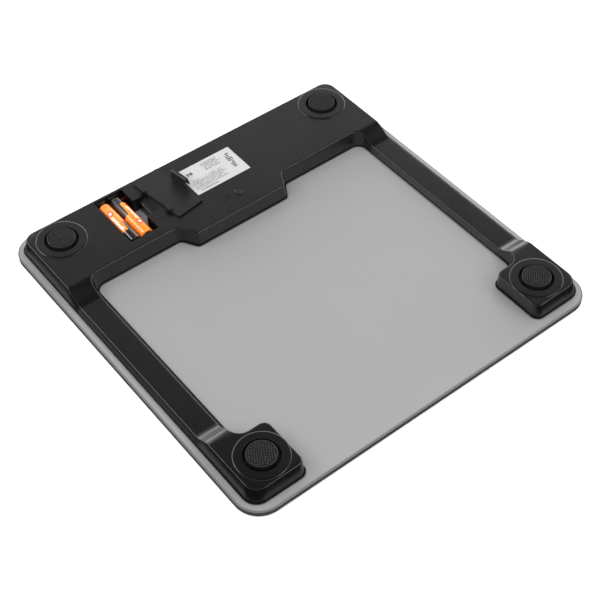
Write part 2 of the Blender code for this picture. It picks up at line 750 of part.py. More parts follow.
def add_button_hole(housing):
    place = (BUTTON_X, BUTTON_Y, 0)
    hole_radius = BUTTON_RADIUS + BUTTON_CLEARANCE
    rim = cone_mesh(
        "button_rim", hole_radius + BUTTON_RIM, hole_radius + BUTTON_RIM / 2,
        HOUSING_TOP - WALL / 2, HOUSING_TOP + BUTTON_RIM_HEIGHT,
    )
    join(housing, add_cutter("button_rim", rim, place))
    hole = cone_mesh("button_hole", hole_radius, hole_radius, BUTTON_BASE, HOUSING_TOP + MM)
    cut(housing, add_cutter("button_hole", hole, place))


def build_housing():
    housing = build_shell()
    add_bay(housing)
    add_foot_wells(housing)
    add_button_hole(housing)


def build_tape():
    """Double-sided tape that holds the housing to the painted glass."""
    base = PAINT_TOP + SKIN_GAP
    top = base + TAPE_THICKNESS
    corners = housing_corners()
    outer = filleted(corners, TAPE_INSET)
    mesh = loft_mesh("mounting_tape", [ring(outer, base), ring(outer, top)])
    tape = add_part("mounting_tape", mesh, ((0.03, 0.03, 0.03), 0.8))
    inner = filleted(corners, TAPE_INSET + TAPE_WIDTH)
    opening = loft_mesh("tape_opening", [ring(inner, base - MM), ring(inner, top + MM)])
    cut(tape, add_cutter("tape_opening", opening))


# ---------------------------------------------------------------- feet

def build_foot(corner, x, y):
    """One rubber pad, the cup that carries it, and the load cell that it presses on."""
    pad_profile = [
        (0, PAD_TOP),
        (PAD_RADIUS - PAD_EDGE, PAD_TOP),
        (PAD_RADIUS, PAD_TOP - PAD_EDGE),
        (PAD_RADIUS, PAD_BASE),
        (0, PAD_BASE),
    ]
    pad = add_part(f"foot_pad_{corner}", profile_mesh("foot_pad", pad_profile),
                   ((0.05, 0.05, 0.05), 0.8), (x, y, 0))
    turned(pad)

    flange_radius = WELL_COUNTERBORE - CUP_CLEARANCE
    cup_profile = [
        (0, CUP_TOP),
        (CUP_STEM_RADIUS, CUP_TOP),
        (CUP_STEM_RADIUS, CUP_BASE + CUP_FLANGE),
        (flange_radius, CUP_BASE + CUP_FLANGE),
        (flange_radius, CUP_BASE),
        (PLUNGER_RADIUS, CUP_BASE),
        (PLUNGER_RADIUS, CELL_TOP + TOUCH_GAP),
        (0, CELL_TOP + TOUCH_GAP),
    ]
    cup = add_part(f"foot_cup_{corner}", profile_mesh("foot_cup", cup_profile),
                   ((0.02, 0.02, 0.02), 0.5), (x, y, 0))
    turned(cup)
    build_load_cell(corner, x, y)


def build_load_cell(corner, x, y):
    """A steel frame on the platform side and the tongue that bends inside it."""
    half = CELL_SIZE / 2
    steel = ((0.55, 0.56, 0.58), 0.35, 1.0)
    mesh = box_mesh("load_cell_frame", (-half, -half, CELL_BASE), (half, half, CELL_TOP))
    frame = add_part(f"load_cell_frame_{corner}", mesh, steel, (x, y, 0))
    inside = half - CELL_RIM
    plate_base = CELL_TOP - CELL_PLATE
    under = box_mesh("cell_under", (-inside, -inside, CELL_BASE - MM), (inside, inside, plate_base))
    cut(frame, add_cutter(f"cell_under_{corner}", under, (x, y, 0)))
    slot_x = TONGUE_WIDTH / 2 + TONGUE_SLOT
    slot_y = TONGUE_LENGTH / 2 + TONGUE_SLOT
    slot = box_mesh("cell_slot", (-slot_x, -slot_y, CELL_BASE), (slot_x, slot_y, CELL_TOP + MM))
    cut(frame, add_cutter(f"cell_slot_{corner}", slot, (x, y, 0)))

    tongue_mesh = box_mesh(
        "load_cell_tongue",
        (-TONGUE_WIDTH / 2, -TONGUE_LENGTH / 2, plate_base),
        (TONGUE_WIDTH / 2, TONGUE_LENGTH / 2, CELL_TOP),
    )
    tongue = add_part(f"load_cell_tongue_{corner}", tongue_mesh, steel, (x, y, 0))
    gauge_half = GAUGE_SIZE / 2
    gauge = box_mesh(
        "gauge",
        (-gauge_half, -gauge_half, plate_base - GAUGE_HEIGHT),
        (gauge_half, gauge_half, plate_base + CELL_PLATE / 2),
    )
    join(tongue, add_cutter(f"gauge_{corner}", gauge, (x, y, 0)))


# ---------------------------------------------------------------- batteries and contacts

def build_battery(name, x, nub_y, direction):
    """A round cell lying along Y, its nub at nub_y and pointing along direction."""
    radius = BATTERY_DIAMETER / 2
    shoulder = -BATTERY_NUB_LENGTH
    bottom = -BATTERY_LENGTH
    profile = [
        (0, 0),
        (BATTERY_NUB_RADIUS, 0),
        (BATTERY_NUB_RADIUS, shoulder),
        (radius - BATTERY_EDGE, shoulder),
        (radius, shoulder - BATTERY_EDGE),
        (radius, bottom + BATTERY_EDGE / 2),
        (radius - BATTERY_EDGE / 2, bottom),
        (0, bottom),
    ]
    cell = add_part(name, profile_mesh(name, profile), ((0.9, 0.3, 0.04), 0.35), (x, nub_y, BATTERY_AXIS_Z))
    cell.rotation_euler = (-direction * math.pi / 2, 0, 0)
    turned(cell)


def contact_plate(name, low_x, high_x, wall_y, inward):
    """A thin plate against an end wall of the bay."""
    near = wall_y + inward * SKIN_GAP
    far = near + inward * CONTACT_THICKNESS
    mesh = box_mesh(
        name,
        (low_x, min(near, far), CONTACT_BASE),
        (high_x, max(near, far), CONTACT_BASE + CONTACT_HEIGHT),
    )
    return add_part(name, mesh, ((0.72, 0.7, 0.66), 0.25, 1.0))


def contact_bump(plate, x, wall_y, inward):
    """The raised button of a plate, which reaches a battery's nub."""
    depth = NUB_ROOM - TOUCH_GAP - CONTACT_THICKNESS / 2
    name = f"{plate.name}_bump"
    mesh = cone_mesh(name, CONTACT_BUMP_RADIUS, CONTACT_BUMP_TIP_RADIUS, 0, depth, SMALL_STEPS)
    bump = add_cutter(name, mesh, (x, wall_y + inward * CONTACT_THICKNESS / 2, BATTERY_AXIS_Z))
    bump.rotation_euler = (-inward * math.pi / 2, 0, 0)
    join(plate, bump)


def contact_spring(name, x, wall_y, inward):
    """A conical spring that reaches a battery's flat end."""
    start = wall_y + inward * (SKIN_GAP + CONTACT_THICKNESS + SKIN_GAP + SPRING_WIRE_RADIUS)
    end = wall_y + inward * (SPRING_ROOM - SKIN_GAP - SPRING_WIRE_RADIUS)
    count = round(SPRING_TURNS * COIL_STEPS)
    points = []
    for step in range(count + 1):
        share = step / count
        angle = math.tau * SPRING_TURNS * share
        reach = SPRING_OUTER_RADIUS + (SPRING_INNER_RADIUS - SPRING_OUTER_RADIUS) * share
        points.append((
            x + reach * math.cos(angle),
            start + (end - start) * share,
            BATTERY_AXIS_Z + reach * math.sin(angle),
        ))
    tube(name, points, SPRING_WIRE_RADIUS, ((0.75, 0.75, 0.72), 0.3, 1.0))


def build_battery_bay():
    base = PAINT_TOP + SKIN_GAP
    liner = box_mesh(
        "battery_bay_liner",
        (BAY_LEFT + LINER_MARGIN, BAY_FRONT + LINER_MARGIN, base),
        (BAY_RIGHT - LINER_MARGIN, BAY_BACK - LINER_MARGIN, base + LINER_THICKNESS),
    )
    add_part("battery_bay_liner", liner, ((0.03, 0.03, 0.03), 0.6))
    left_x = LEFT_BATTERY_X
    right_x = RIGHT_BATTERY_X
    build_battery("battery_left", left_x, BAY_FRONT + NUB_ROOM, -1)
    build_battery("battery_right", right_x, BAY_BACK - NUB_ROOM, 1)

    half = CONTACT_WIDTH / 2
    bridge = contact_plate("contact_bridge", left_x - half, right_x + half, BAY_FRONT, 1)
    contact_bump(bridge, left_x, BAY_FRONT, 1)
    contact_spring("contact_spring_front", right_x, BAY_FRONT, 1)
    positive = contact_plate("contact_plate_positive", right_x - half, right_x + half, BAY_BACK, -1)
    contact_bump(positive, right_x, BAY_BACK, -1)
    contact_plate("contact_plate_negative", left_x - half, left_x + half, BAY_BACK, -1)
    contact_spring("contact_spring_back", left_x, BAY_BACK, -1)


# ---------------------------------------------------------------- battery cover

def build_cover():
    """The cover, lying beside the bay with its inside up: hooks on its left edge, latch on its right."""
    half_x = COVER_WIDTH / 2
    half_y = COVER_LENGTH / 2
    place = (COVER_REST_X, HOUSING_BACK - COVER_REST_BACK_INSET, HOUSING_TOP + TOUCH_GAP)
    mesh = box_mesh("battery_cover", (-half_x, -half_y, 0), (half_x, half_y, COVER_THICKNESS))
    cover = add_part("battery_cover", mesh, ((0.02, 0.02, 0.022), 0.4), place)
    cover.rotation_euler = (0, 0, COVER_REST_TURN)

    def add_profile(name, outline, low_y, high_y):
        block = add_cutter(name, prism_along_y(name, outline, low_y, high_y), place)
        block.rotation_euler = (0, 0, COVER_REST_TURN)
        join(cover, block)

    root = COVER_THICKNESS / 2
    hook_top = COVER_THICKNESS + HOOK_DROP
    rib_outer = -half_x + SKIN_GAP
    hook = [
        (rib_outer + HOOK_TAB, root),
        (rib_outer + HOOK_TAB, hook_top),
        (-half_x - HOOK_REACH, hook_top),
        (-half_x - HOOK_REACH, hook_top - HOOK_TAB),
        (rib_outer, hook_top - HOOK_TAB),
        (rib_outer, root),
    ]
    for word, offset in (("front", -HOOK_SPREAD / 2), ("back", HOOK_SPREAD / 2)):
        add_profile(f"hook_{word}", hook, offset - HOOK_WIDTH / 2, offset + HOOK_WIDTH / 2)

    crest = LATCH_INNER + LATCH_CREST
    outer = LATCH_INNER + LATCH_SPAN - CATCH_REACH
    flare = (outer - crest) / (LATCH_HEIGHT - LATCH_WALL - LATCH_TIP)
    catch_low = crest + flare * (LATCH_HEIGHT - LATCH_WALL - CATCH_DROP)
    catch_high = catch_low - flare * 2 * CATCH_HEIGHT
    latch = [
        (LATCH_INNER, root),
        (LATCH_INNER + LATCH_WALL, root),
        (LATCH_INNER + LATCH_WALL, LATCH_HEIGHT - LATCH_WALL),
        (crest - LATCH_WALL, LATCH_HEIGHT - LATCH_WALL),
        (outer - LATCH_WALL, LATCH_TIP),
        (outer, LATCH_TIP),
        (catch_low, CATCH_DROP),
        (catch_low + CATCH_REACH, CATCH_DROP),
        (catch_high, CATCH_DROP + 2 * CATCH_HEIGHT),
        (crest, LATCH_HEIGHT - LATCH_WALL),
        (crest - LATCH_WALL / 2, LATCH_HEIGHT),
        (LATCH_INNER + LATCH_WALL / 2, LATCH_HEIGHT),
        (LATCH_INNER, LATCH_HEIGHT - LATCH_WALL / 2),
    ]
    add_profile("latch", latch, -LATCH_WIDTH / 2, LATCH_WIDTH / 2)


# ---------------------------------------------------------------- display and board

def build_display():
    """The liquid crystal panel that looks out through the glass, and what holds it."""
    half_x = LCD_WIDTH / 2
    half_y = LCD_DEPTH / 2
    lcd_top = LCD_BASE + LCD_THICKNESS
    panel = box_mesh(
        "lcd_panel",
        (-half_x, DISPLAY_Y - half_y, LCD_BASE),
        (half_x, DISPLAY_Y + half_y, lcd_top),
    )
    add_part("lcd_panel", panel, ((0.35, 0.38, 0.34), 0.15))

    mesh = box_mesh(
        "display_frame",
        (-FRAME_HALF_X, DISPLAY_Y - FRAME_HALF_Y, FRAME_BASE),
        (FRAME_HALF_X, DISPLAY_Y + FRAME_HALF_Y, FRAME_TOP),
    )
    frame = add_part("display_frame", mesh, ((0.5, 0.5, 0.48), 0.5))
    room_x = half_x + LCD_CLEARANCE
    room_y = half_y + LCD_CLEARANCE
    room = box_mesh(
        "display_room",
        (-room_x, DISPLAY_Y - room_y, FRAME_BASE - MM),
        (room_x, DISPLAY_Y + room_y, FRAME_TOP + MM),
    )
    cut(frame, add_cutter("display_room", room))

    strip_x = half_x - LCD_BORDER
    for side, word in ((-1, "front"), (1, "back")):
        middle = DISPLAY_Y + side * (half_y - STRIP_DEPTH)
        strip = box_mesh(
            f"zebra_strip_{word}",
            (-strip_x, middle - STRIP_DEPTH / 2, lcd_top + SKIN_GAP),
            (strip_x, middle + STRIP_DEPTH / 2, BOARD_BASE - SKIN_GAP),
        )
        add_part(f"zebra_strip_{word}", strip, ((0.6, 0.35, 0.32), 0.7))
    return frame


def build_board(frame):
    """The circuit board on the display frame, with its screws, chip and switch."""
    mesh = box_mesh(
        "circuit_board",
        (-FRAME_HALF_X, DISPLAY_Y - FRAME_HALF_Y, BOARD_BASE),
        (FRAME_HALF_X, DISPLAY_Y + FRAME_HALF_Y, BOARD_TOP),
    )
    board = add_part("circuit_board", mesh, ((0.03, 0.16, 0.07), 0.4))
    screw_x = FRAME_HALF_X - FRAME_WALL / 2
    screw_y = FRAME_HALF_Y - FRAME_WALL / 2
    head_low = BOARD_TOP + SKIN_GAP
    steel = ((0.6, 0.6, 0.62), 0.3, 1.0)
    for x in (-screw_x, screw_x):
        for y in (DISPLAY_Y - screw_y, DISPLAY_Y + screw_y):
            word = ("left" if x < 0 else "right") + ("_front" if y < DISPLAY_Y else "_back")
            hole_radius = SCREW_SHANK_RADIUS + SCREW_CLEARANCE
            name = f"screw_hole_{word}"
            hole = cone_mesh(name, hole_radius, hole_radius, FRAME_BASE + MM, BOARD_TOP + MM, SMALL_STEPS)
            hole_cutter = add_cutter(name, hole, (x, y, 0))
            cut(board, hole_cutter)
            cut(frame, hole_cutter)
            profile = [
                (0, head_low + SCREW_HEAD_HEIGHT),
                (SCREW_HEAD_RADIUS * 0.7, head_low + SCREW_HEAD_HEIGHT),
                (SCREW_HEAD_RADIUS, head_low + SCREW_HEAD_HEIGHT / 2),
                (SCREW_HEAD_RADIUS, head_low),
                (SCREW_SHANK_RADIUS, head_low),
                (SCREW_SHANK_RADIUS, FRAME_BASE + SCREW_FROM_FLOOR),
                (0, FRAME_BASE + SCREW_FROM_FLOOR),
            ]
            screw = add_part(f"board_screw_{word}", profile_mesh("board_screw", profile), steel, (x, y, 0))
            turned(screw, SMALL_STEPS)

    chip_base = BOARD_TOP + SKIN_GAP
    chip_profile = [
        (0, chip_base + CHIP_HEIGHT),
        (CHIP_RADIUS * 0.55, chip_base + CHIP_HEIGHT * 0.85),
        (CHIP_RADIUS * 0.9, chip_base + CHIP_HEIGHT * 0.4),
        (CHIP_RADIUS, chip_base),
        (0, chip_base),
    ]
    chip = add_part("controller_chip", profile_mesh("controller_chip", chip_profile),
                    ((0.01, 0.01, 0.01), 0.3), (-LCD_WIDTH / 4, DISPLAY_Y, 0))
    turned(chip, SMALL_STEPS)


def build_button():
    """The unit button and the switch under it."""
    place = (BUTTON_X, BUTTON_Y, 0)
    profile = [
        (0, HOUSING_TOP + BUTTON_PROUD),
        (BUTTON_RADIUS - BUTTON_EDGE, HOUSING_TOP + BUTTON_PROUD),
        (BUTTON_RADIUS, HOUSING_TOP + BUTTON_PROUD - BUTTON_EDGE),
        (BUTTON_RADIUS, BUTTON_BASE + BUTTON_LIP_HEIGHT),
        (BUTTON_RADIUS + BUTTON_LIP, BUTTON_BASE + BUTTON_LIP_HEIGHT),
        (BUTTON_RADIUS + BUTTON_LIP, BUTTON_BASE),
        (0, BUTTON_BASE),
    ]
    button = add_part("unit_button", profile_mesh("unit_button", profile), ((0.02, 0.02, 0.02), 0.4), place)
    turned(button)

    half = SWITCH_SIZE / 2
    base = BOARD_TOP + SKIN_GAP
    body = box_mesh("tact_switch", (-half, -half, base), (half, half, base + SWITCH_BODY))
    switch = add_part("tact_switch", body, ((0.08, 0.08, 0.08), 0.4), place)
    plunger = cone_mesh(
        "switch_plunger", SWITCH_PLUNGER_RADIUS, SWITCH_PLUNGER_RADIUS,
        base + SWITCH_BODY / 2, SWITCH_TOP, SMALL_STEPS,
    )
    join(switch, add_cutter("switch_plunger", plunger, place))


def build_label():
    y = HOUSING_BACK - LABEL_BACK_INSET
    base = HOUSING_TOP + SKIN_GAP / 2
    mesh = box_mesh(
        "rating_label",
        (LABEL_X - LABEL_WIDTH / 2, y - LABEL_DEPTH / 2, base),
        (LABEL_X + LABEL_WIDTH / 2, y + LABEL_DEPTH / 2, base + LABEL_THICKNESS),
    )
    add_part("rating_label", mesh, ((0.82, 0.82, 0.82), 0.4))


# ---------------------------------------------------------------- wires

def build_cables():
    """A lead from each load cell to the edge of the board, along the inside of the housing."""
    low = INSIDE_BASE + CABLE_RADIUS + CABLE_LIFT
    high = (BOARD_BASE + BOARD_TOP) / 2
    board_edge = FRAME_HALF_X + TOUCH_GAP
    lane = BAR_FRONT + FLANGE_WIDTH + WALL + BAR_DRAFT / 2 + CABLE_RADIUS + TOUCH_GAP
    rail_middle = HOUSING_HALF_WIDTH - RAIL_WIDTH / 2
    cell_edge = CELL_SIZE / 2 + TOUCH_GAP
    back_lane = lane + 3 * CABLE_RADIUS
    front_end = DISPLAY_Y - FRAME_HALF_Y + CABLE_END_INSET
    back_end = front_end + CABLE_END_SPACING
    for side, word in ((-1, "left"), (1, "right")):
        end_x = side * board_edge
        back_points = [
            (side * (FOOT_X - cell_edge), FOOT_Y - CELL_SIZE / 4, low),
            (side * (FOOT_X - cell_edge - CABLE_CELL_STUB), FOOT_Y - CELL_SIZE / 4, low),
            (side * (FOOT_X - cell_edge - CABLE_CELL_BEND), back_lane, low),
            (side * (FOOT_X - cell_edge - 2 * CABLE_CELL_BEND), back_lane, low),
            (end_x + side * CABLE_BOARD_BEND, back_lane, low),
            (end_x + side * CABLE_BOARD_STUB, back_end, high),
            (end_x, back_end, high),
        ]
        tube(f"sensor_cable_back_{word}", smooth_route(back_points), CABLE_RADIUS, ((0.5, 0.5, 0.5), 0.5))
        front_points = [
            (side * rail_middle, -FOOT_Y + cell_edge, low),
            (side * rail_middle, POD_BACK + FRONT_RAMP, low),
            (side * rail_middle, BAR_FRONT - BACK_RAMP, low),
            (side * rail_middle, lane, low),
            (side * (RAIL_INNER - CABLE_RAIL_BEND), lane, low),
            (end_x + side * CABLE_BOARD_BEND, lane, low),
            (end_x + side * CABLE_BOARD_STUB, front_end, high),
            (end_x, front_end, high),
        ]
        tube(f"sensor_cable_front_{word}", smooth_route(front_points), CABLE_RADIUS, ((0.5, 0.5, 0.5), 0.5))


def build_battery_leads():
    """Two leads from the contacts at the back of the bay to the back edge of the board."""
    high = (BOARD_BASE + BOARD_TOP) / 2
    frame_back = DISPLAY_Y + FRAME_HALF_Y
    leads = (
        ("positive", RIGHT_BATTERY_X + CONTACT_WIDTH / 2 + TOUCH_GAP, LEAD_HIGH, 0, (0.6, 0.03, 0.02)),
        ("negative", LEFT_BATTERY_X + CONTACT_WIDTH / 2 - LEAD_SETBACK, LEAD_LOW, 1, (0.02, 0.02, 0.02)),
    )
    for word, start_x, rise, lane, colour in leads:
        height = CONTACT_BASE + rise
        lane_x = -FRAME_HALF_X + LEAD_FROM_EDGE + lane * 3 * LEAD_RADIUS
        points = [
            (start_x, LEAD_Y, height),
            (BAY_RIGHT + BAY_WALL + LEAD_BEND, LEAD_Y, height),
            (lane_x - LEAD_BEND, LEAD_Y, height),
            (lane_x, LEAD_Y - LEAD_BEND, height),
            (lane_x, frame_back + 2 * LEAD_BEND, height),
            (lane_x, frame_back + LEAD_BEND, high),
            (lane_x, frame_back + TOUCH_GAP, high),
        ]
        tube(f"battery_lead_{word}", smooth_route(points), LEAD_RADIUS, (colour, 0.4))


def build():
    build_glass()
    build_paint()
    build_tape()
    build_housing()
    for corner, (x, y) in FOOT_PLACES.items():
        build_foot(corner, x, y)
    build_battery_bay()
    build_cover()
    frame = build_display()
    build_board(frame)
    build_button()
    build_label()
    build_cables()
    build_battery_leads()


build()
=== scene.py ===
"""Looks of the bathroom scale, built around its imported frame.

Metres, +Z up. The scale lies on its glass, feet up, and +Y points to the wide bar of the housing.
Places come from the frame's boxes. The sizes below are those of details that only the looks have.
"""

import math

import bmesh
import bpy
from mathutils import Matrix, Vector


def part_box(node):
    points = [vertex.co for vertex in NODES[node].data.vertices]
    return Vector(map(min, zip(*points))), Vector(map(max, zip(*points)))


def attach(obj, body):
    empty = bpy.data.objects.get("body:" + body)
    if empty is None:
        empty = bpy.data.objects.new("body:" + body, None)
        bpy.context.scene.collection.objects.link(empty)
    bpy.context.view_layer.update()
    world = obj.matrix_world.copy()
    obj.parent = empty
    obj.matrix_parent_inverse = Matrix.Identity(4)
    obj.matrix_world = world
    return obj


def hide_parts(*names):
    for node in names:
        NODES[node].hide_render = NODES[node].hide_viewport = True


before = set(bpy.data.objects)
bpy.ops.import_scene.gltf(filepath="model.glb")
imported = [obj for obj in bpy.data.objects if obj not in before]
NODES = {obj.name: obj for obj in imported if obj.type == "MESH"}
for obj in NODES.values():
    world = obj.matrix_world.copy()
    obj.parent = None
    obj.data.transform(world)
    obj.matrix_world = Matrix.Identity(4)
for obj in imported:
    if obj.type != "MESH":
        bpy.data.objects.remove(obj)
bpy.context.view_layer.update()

MM = 0.001
CORNERS = ("back_left", "back_right", "front_left", "front_right")

# Camera: the point that it looks at, the direction that it looks from, and its lens in millimetres
CAMERA_TARGET = (-12.387 * MM, -21.074 * MM, 0.0)
CAMERA_AZIMUTH = math.radians(-37.333)
CAMERA_ELEVATION = math.radians(48.62)
CAMERA_ROLL = math.radians(-1.0)
CAMERA_DISTANCE = 925.571 * MM
CAMERA_LENS = 78.24
CAMERA_NEAR = 10 * MM

# World: (position, level) stops. SKY and BACKDROP_BAND run from straight down, 0, to straight up, 1.
# BACKDROP_SIDE runs from 0 to 1 towards the heading BACKDROP_AHEAD, with 0.5 square to it.
SKY = ((0.0, 0.01), (0.49, 0.01), (0.52, 0.75), (0.83, 0.75), (0.875, 0.28), (0.92, 0.06), (1.0, 0.02))
BACKDROP_BAND = ((0.0, 0.0), (0.485, 0.0), (0.51, 1.0), (0.61, 1.0), (0.69, 0.0), (1.0, 0.0))
BACKDROP_SIDE = ((0.0, 0.0), (0.5, 0.0), (0.72, 1.0), (1.0, 1.0))
BACKDROP_AHEAD = (0.6, 0.8)
BACKDROP_LEVEL = 3.6

# Lamps: azimuth and elevation in degrees, size in metres, power in watts, and whether gloss shows them
LAMP_DISTANCE = 2.0
LAMPS = {
    "key": (-80, 62, (2.0, 2.0), 42, False),
    "fill": (70, 60, (2.0, 2.0), 24, False),
    "front_strip": (30, 36, (1.0, 0.6), 12, True),
    "left_strip": (-131, 36, (1.0, 0.6), 12, True),
}

# Floor
FLOOR_HALF = 6.0
FLOOR_DROP = 0.5 * MM

# Glass: its sides look ground as far in as GROUND_FULL, and clear from GROUND_END on
GLASS_CORNER = 19.0 * MM
GROUND_FULL = 1.0 * MM
GROUND_END = 1.3 * MM
# From CHAMFER_LOW to CHAMFER_HIGH under the glass's top, the chamfer is painted paler as a highlight.
CHAMFER_LOW = 0.7 * MM
CHAMFER_HIGH = 0.5 * MM

# Foot pads: STUD_LEVELS are (share of the half width, share of the height), PAD_TURNS are degrees
STUD_PITCH = 1.6 * MM
STUD_HALF = 0.56 * MM
STUD_HEIGHT = 0.6 * MM
STUD_SUNK = 0.05 * MM
STUD_BELOW_TOP = 0.02 * MM
STUD_SIDES = 8
STUD_CORNER_REACH = 1.12
STUD_LEVELS = ((1.0, 0.0), (0.96, 0.45), (0.8, 0.85), (0.5, 1.0))
PAD_STEPS = 72
PAD_RIM_STEPS = 6
PAD_FOOT_EDGE = 0.3 * MM
PAD_RIM = 0.6 * MM
PAD_RIM_DROP = 0.25 * MM
PAD_RIM_LAND = 0.2 * MM
PAD_RIM_FALL = 0.04 * MM
PAD_GROOVE_SLOPE = 0.15 * MM
PAD_TURNS = {"back_left": 20, "back_right": 75, "front_left": 59, "front_right": -47}

# Moulded bars beside the unit button
MARK_OFFSET = 6.5 * MM
MARK_DEPTH = 1.1 * MM
MARK_HEIGHT = 0.25 * MM
MARK_GAP = 0.7 * MM
MARK_ROWS = (
    (1.6 * MM, (2.0 * MM, 1.2 * MM, 2.6 * MM)),
    (-0.9 * MM, (1.3 * MM, 2.4 * MM, 1.0 * MM, 1.8 * MM)),
)

# Batteries: their printed sleeves, and the bare metal at their ends
CELLS = {
    "battery_left": {"towards_nub": -1, "black_from": 10.8 * MM},
    "battery_right": {"towards_nub": 1, "black_from": 13.9 * MM},
}
SLEEVE_STEPS = 56
SLEEVE_EDGE = 0.7 * MM
SLEEVE_EDGE_STEPS = 5
SLEEVE_FLAT_LIP = 1.5 * MM
SLEEVE_FLAT_INSET = 0.12 * MM
SLEEVE_FLAT_FLOOR = 0.35 * MM
SLEEVE_NUB_LIP = 1.7 * MM
SLEEVE_NUB_HOLE = 1.9 * MM
SLEEVE_NUB_FLOOR = 0.15 * MM
END_STEPS = 36
NUB_RADIUS = 1.9 * MM
NUB_LENGTH = 1.0 * MM
NUB_FLANGE = 0.9 * MM
NUB_FLANGE_LOW = 0.14 * MM
NUB_FLANGE_SLOPE = 0.02 * MM
NUB_FILLET = 0.15 * MM
NUB_FILLET_TOP = 0.2 * MM
NUB_EDGE = 0.3 * MM
NUB_EDGE_STEPS = 4
CAN_FLAT_INSET = 2.2 * MM
CAN_INSET = 1.6 * MM
CAN_RISE = 0.1 * MM
CAN_TOP = 0.34 * MM

# The wraps' print and black, (across, along) from a cell's middle with along towards its nub. The black
# starts at a cell's black_from, and at WRAP_FLANK_BLACK on the flank beyond WRAP_FLANK, the flank that faces
# the other cell.
WRAP_FLANK = -1.0 * MM
WRAP_FLANK_SOFT = 0.4 * MM
WRAP_FLANK_BLACK = 0.5 * MM
WRAP_PRINT_SPAN = (-7 * MM, 9 * MM)
WRAP_PRINT_LOW = 0.9 * MM
WRAP_PRINT_HIGH = 3.3 * MM
WRAP_PRINT_UNEVEN = 0.9 * MM
WRAP_BAR_PITCH = 1.8 * MM
WRAP_BAR_SPAN = (0.18, 0.72)
WRAP_BAR_NOISE_STEP = 3.3
WRAP_BADGE = (1.4 * MM, -10.5 * MM)
WRAP_BADGE_RADIUS = 2.3 * MM
WRAP_BADGE_STRETCH = 1.3
WRAP_BADGE_FADE = (0.35, 1.5)
WRAP_HEART_FADE = (0.1, 0.3)

# Label print: blocks of short bars, in millimetres from the label's left and front edges. A row fills
# the share fill of its pitch, its bars are about word long, and seed sets how they fall.
PRINT_SHARE_BARE = 0.44
PRINT_RAGGED = 0.35
PRINT_ROW_NOISE_STEP = 7.3
PRINT_END_NOISE_STEP = 3.7
PRINT_BLOCKS = (
    dict(left=3, right=38, bottom=4.6, top=15.1, pitch=1.75, fill=0.5, word=0.9, seed=1.0, strength=0.75),
    dict(left=5, right=24, bottom=1.8, top=4.2, pitch=2.4, fill=0.55, word=1.1, seed=2.0, strength=0.75),
    dict(left=20, right=37, bottom=18.5, top=27.5, pitch=1.8, fill=0.5, word=0.8, seed=4.0, strength=0.8),
    dict(left=5, right=11, bottom=20.5, top=24.5, pitch=4.0, fill=0.75, word=1.6, seed=9.0, strength=0.9),
    dict(left=39.5, right=44.5, bottom=8, top=25, pitch=1.9, fill=0.75, word=3.5, seed=6.0, strength=0.9),
)

# Circuit board tracks and display segments
TRACK_PITCH = 2.2 * MM
TRACK_SPAN = (0.3, 0.5)
TRACK_WANDER = 8 * MM
DIGIT_PITCH = 14 * MM
DIGIT_SPAN = (0.12, 0.3)
DIGIT_ROW = 11 * MM
DIGIT_ROW_SPAN = (0.15, 0.85)

# Materials. A plastic has its darkest and lightest colour and its lowest and highest roughness.
# A metal has its colour, its roughness and the size of its scratches.
NOISE_MIDDLE = (0.3, 0.7)
PLASTIC_GRAIN = 0.4 * MM
PLASTIC_GRAIN_DEPTH = 0.012 * MM
PLASTICS = {
    "black_plastic": ((0.0022, 0.0022, 0.0023), (0.0036, 0.0036, 0.0037), 0.24, 0.30),
    "cover_plastic": ((0.0026, 0.0026, 0.0027), (0.0042, 0.0042, 0.0043), 0.34, 0.42),
    "button_plastic": ((0.003, 0.003, 0.0031), (0.005, 0.005, 0.0051), 0.28, 0.36),
    "cup_plastic": ((0.008, 0.008, 0.008), (0.012, 0.012, 0.012), 0.5, 0.65),
    "liner": ((0.004, 0.004, 0.0045), (0.008, 0.008, 0.0085), 0.5, 0.7),
    "frame_plastic": ((0.42, 0.42, 0.40), (0.50, 0.50, 0.48), 0.45, 0.6),
    "switch_plastic": ((0.05, 0.05, 0.05), (0.08, 0.08, 0.08), 0.4, 0.5),
    "chip_epoxy": ((0.006, 0.006, 0.006), (0.012, 0.012, 0.012), 0.2, 0.35),
    "silicone": ((0.50, 0.28, 0.26), (0.60, 0.35, 0.32), 0.6, 0.75),
    "cable_jacket": ((0.30, 0.30, 0.31), (0.38, 0.38, 0.39), 0.4, 0.55),
    "red_wire": ((0.45, 0.02, 0.015), (0.58, 0.035, 0.02), 0.35, 0.5),
    "black_wire": ((0.012, 0.012, 0.012), (0.02, 0.02, 0.02), 0.35, 0.5),
}
METALS = {
    "cell_steel": ((0.55, 0.56, 0.58), 0.35, 0.25 * MM),
    "cell_cap": ((0.80, 0.66, 0.44), 0.28, 0.12 * MM),
    # contact_nickel is painted darker than bare nickel, as painted shade for the contacts deep in the battery
    # bay.
    "contact_nickel": ((0.42, 0.40, 0.36), 0.3, 0.12 * MM),
    "screw_steel": ((0.58, 0.58, 0.60), 0.3, 0.25 * MM),
}

# Refining the frame's pieces: WELD joins split facets, and edges sharper than an angle stay sharp
WELD = 0.002 * MM
FLAT_ANGLE = math.radians(0.5)
SMOOTH_ANGLE = math.radians(32)
PAD_SMOOTH_ANGLE = math.radians(40)
BEVEL_ANGLE = math.radians(50)
BEVEL_SEGMENTS = 2
NORMAL_WEIGHT = 80
BEVELS = {
    "battery_cover": 0.18 * MM,
    "display_frame": 0.2 * MM,
    "rating_label": 0.03 * MM,
    "load_cell_frame": 0.15 * MM,
    "load_cell_tongue": 0.1 * MM,
    "tact_switch": 0.12 * MM,
    "circuit_board": 0.06 * MM,
    "contact_plate_negative": 0.08 * MM,
    "lcd_panel": 0.1 * MM,
}


# ---------------------------------------------------------------- materials

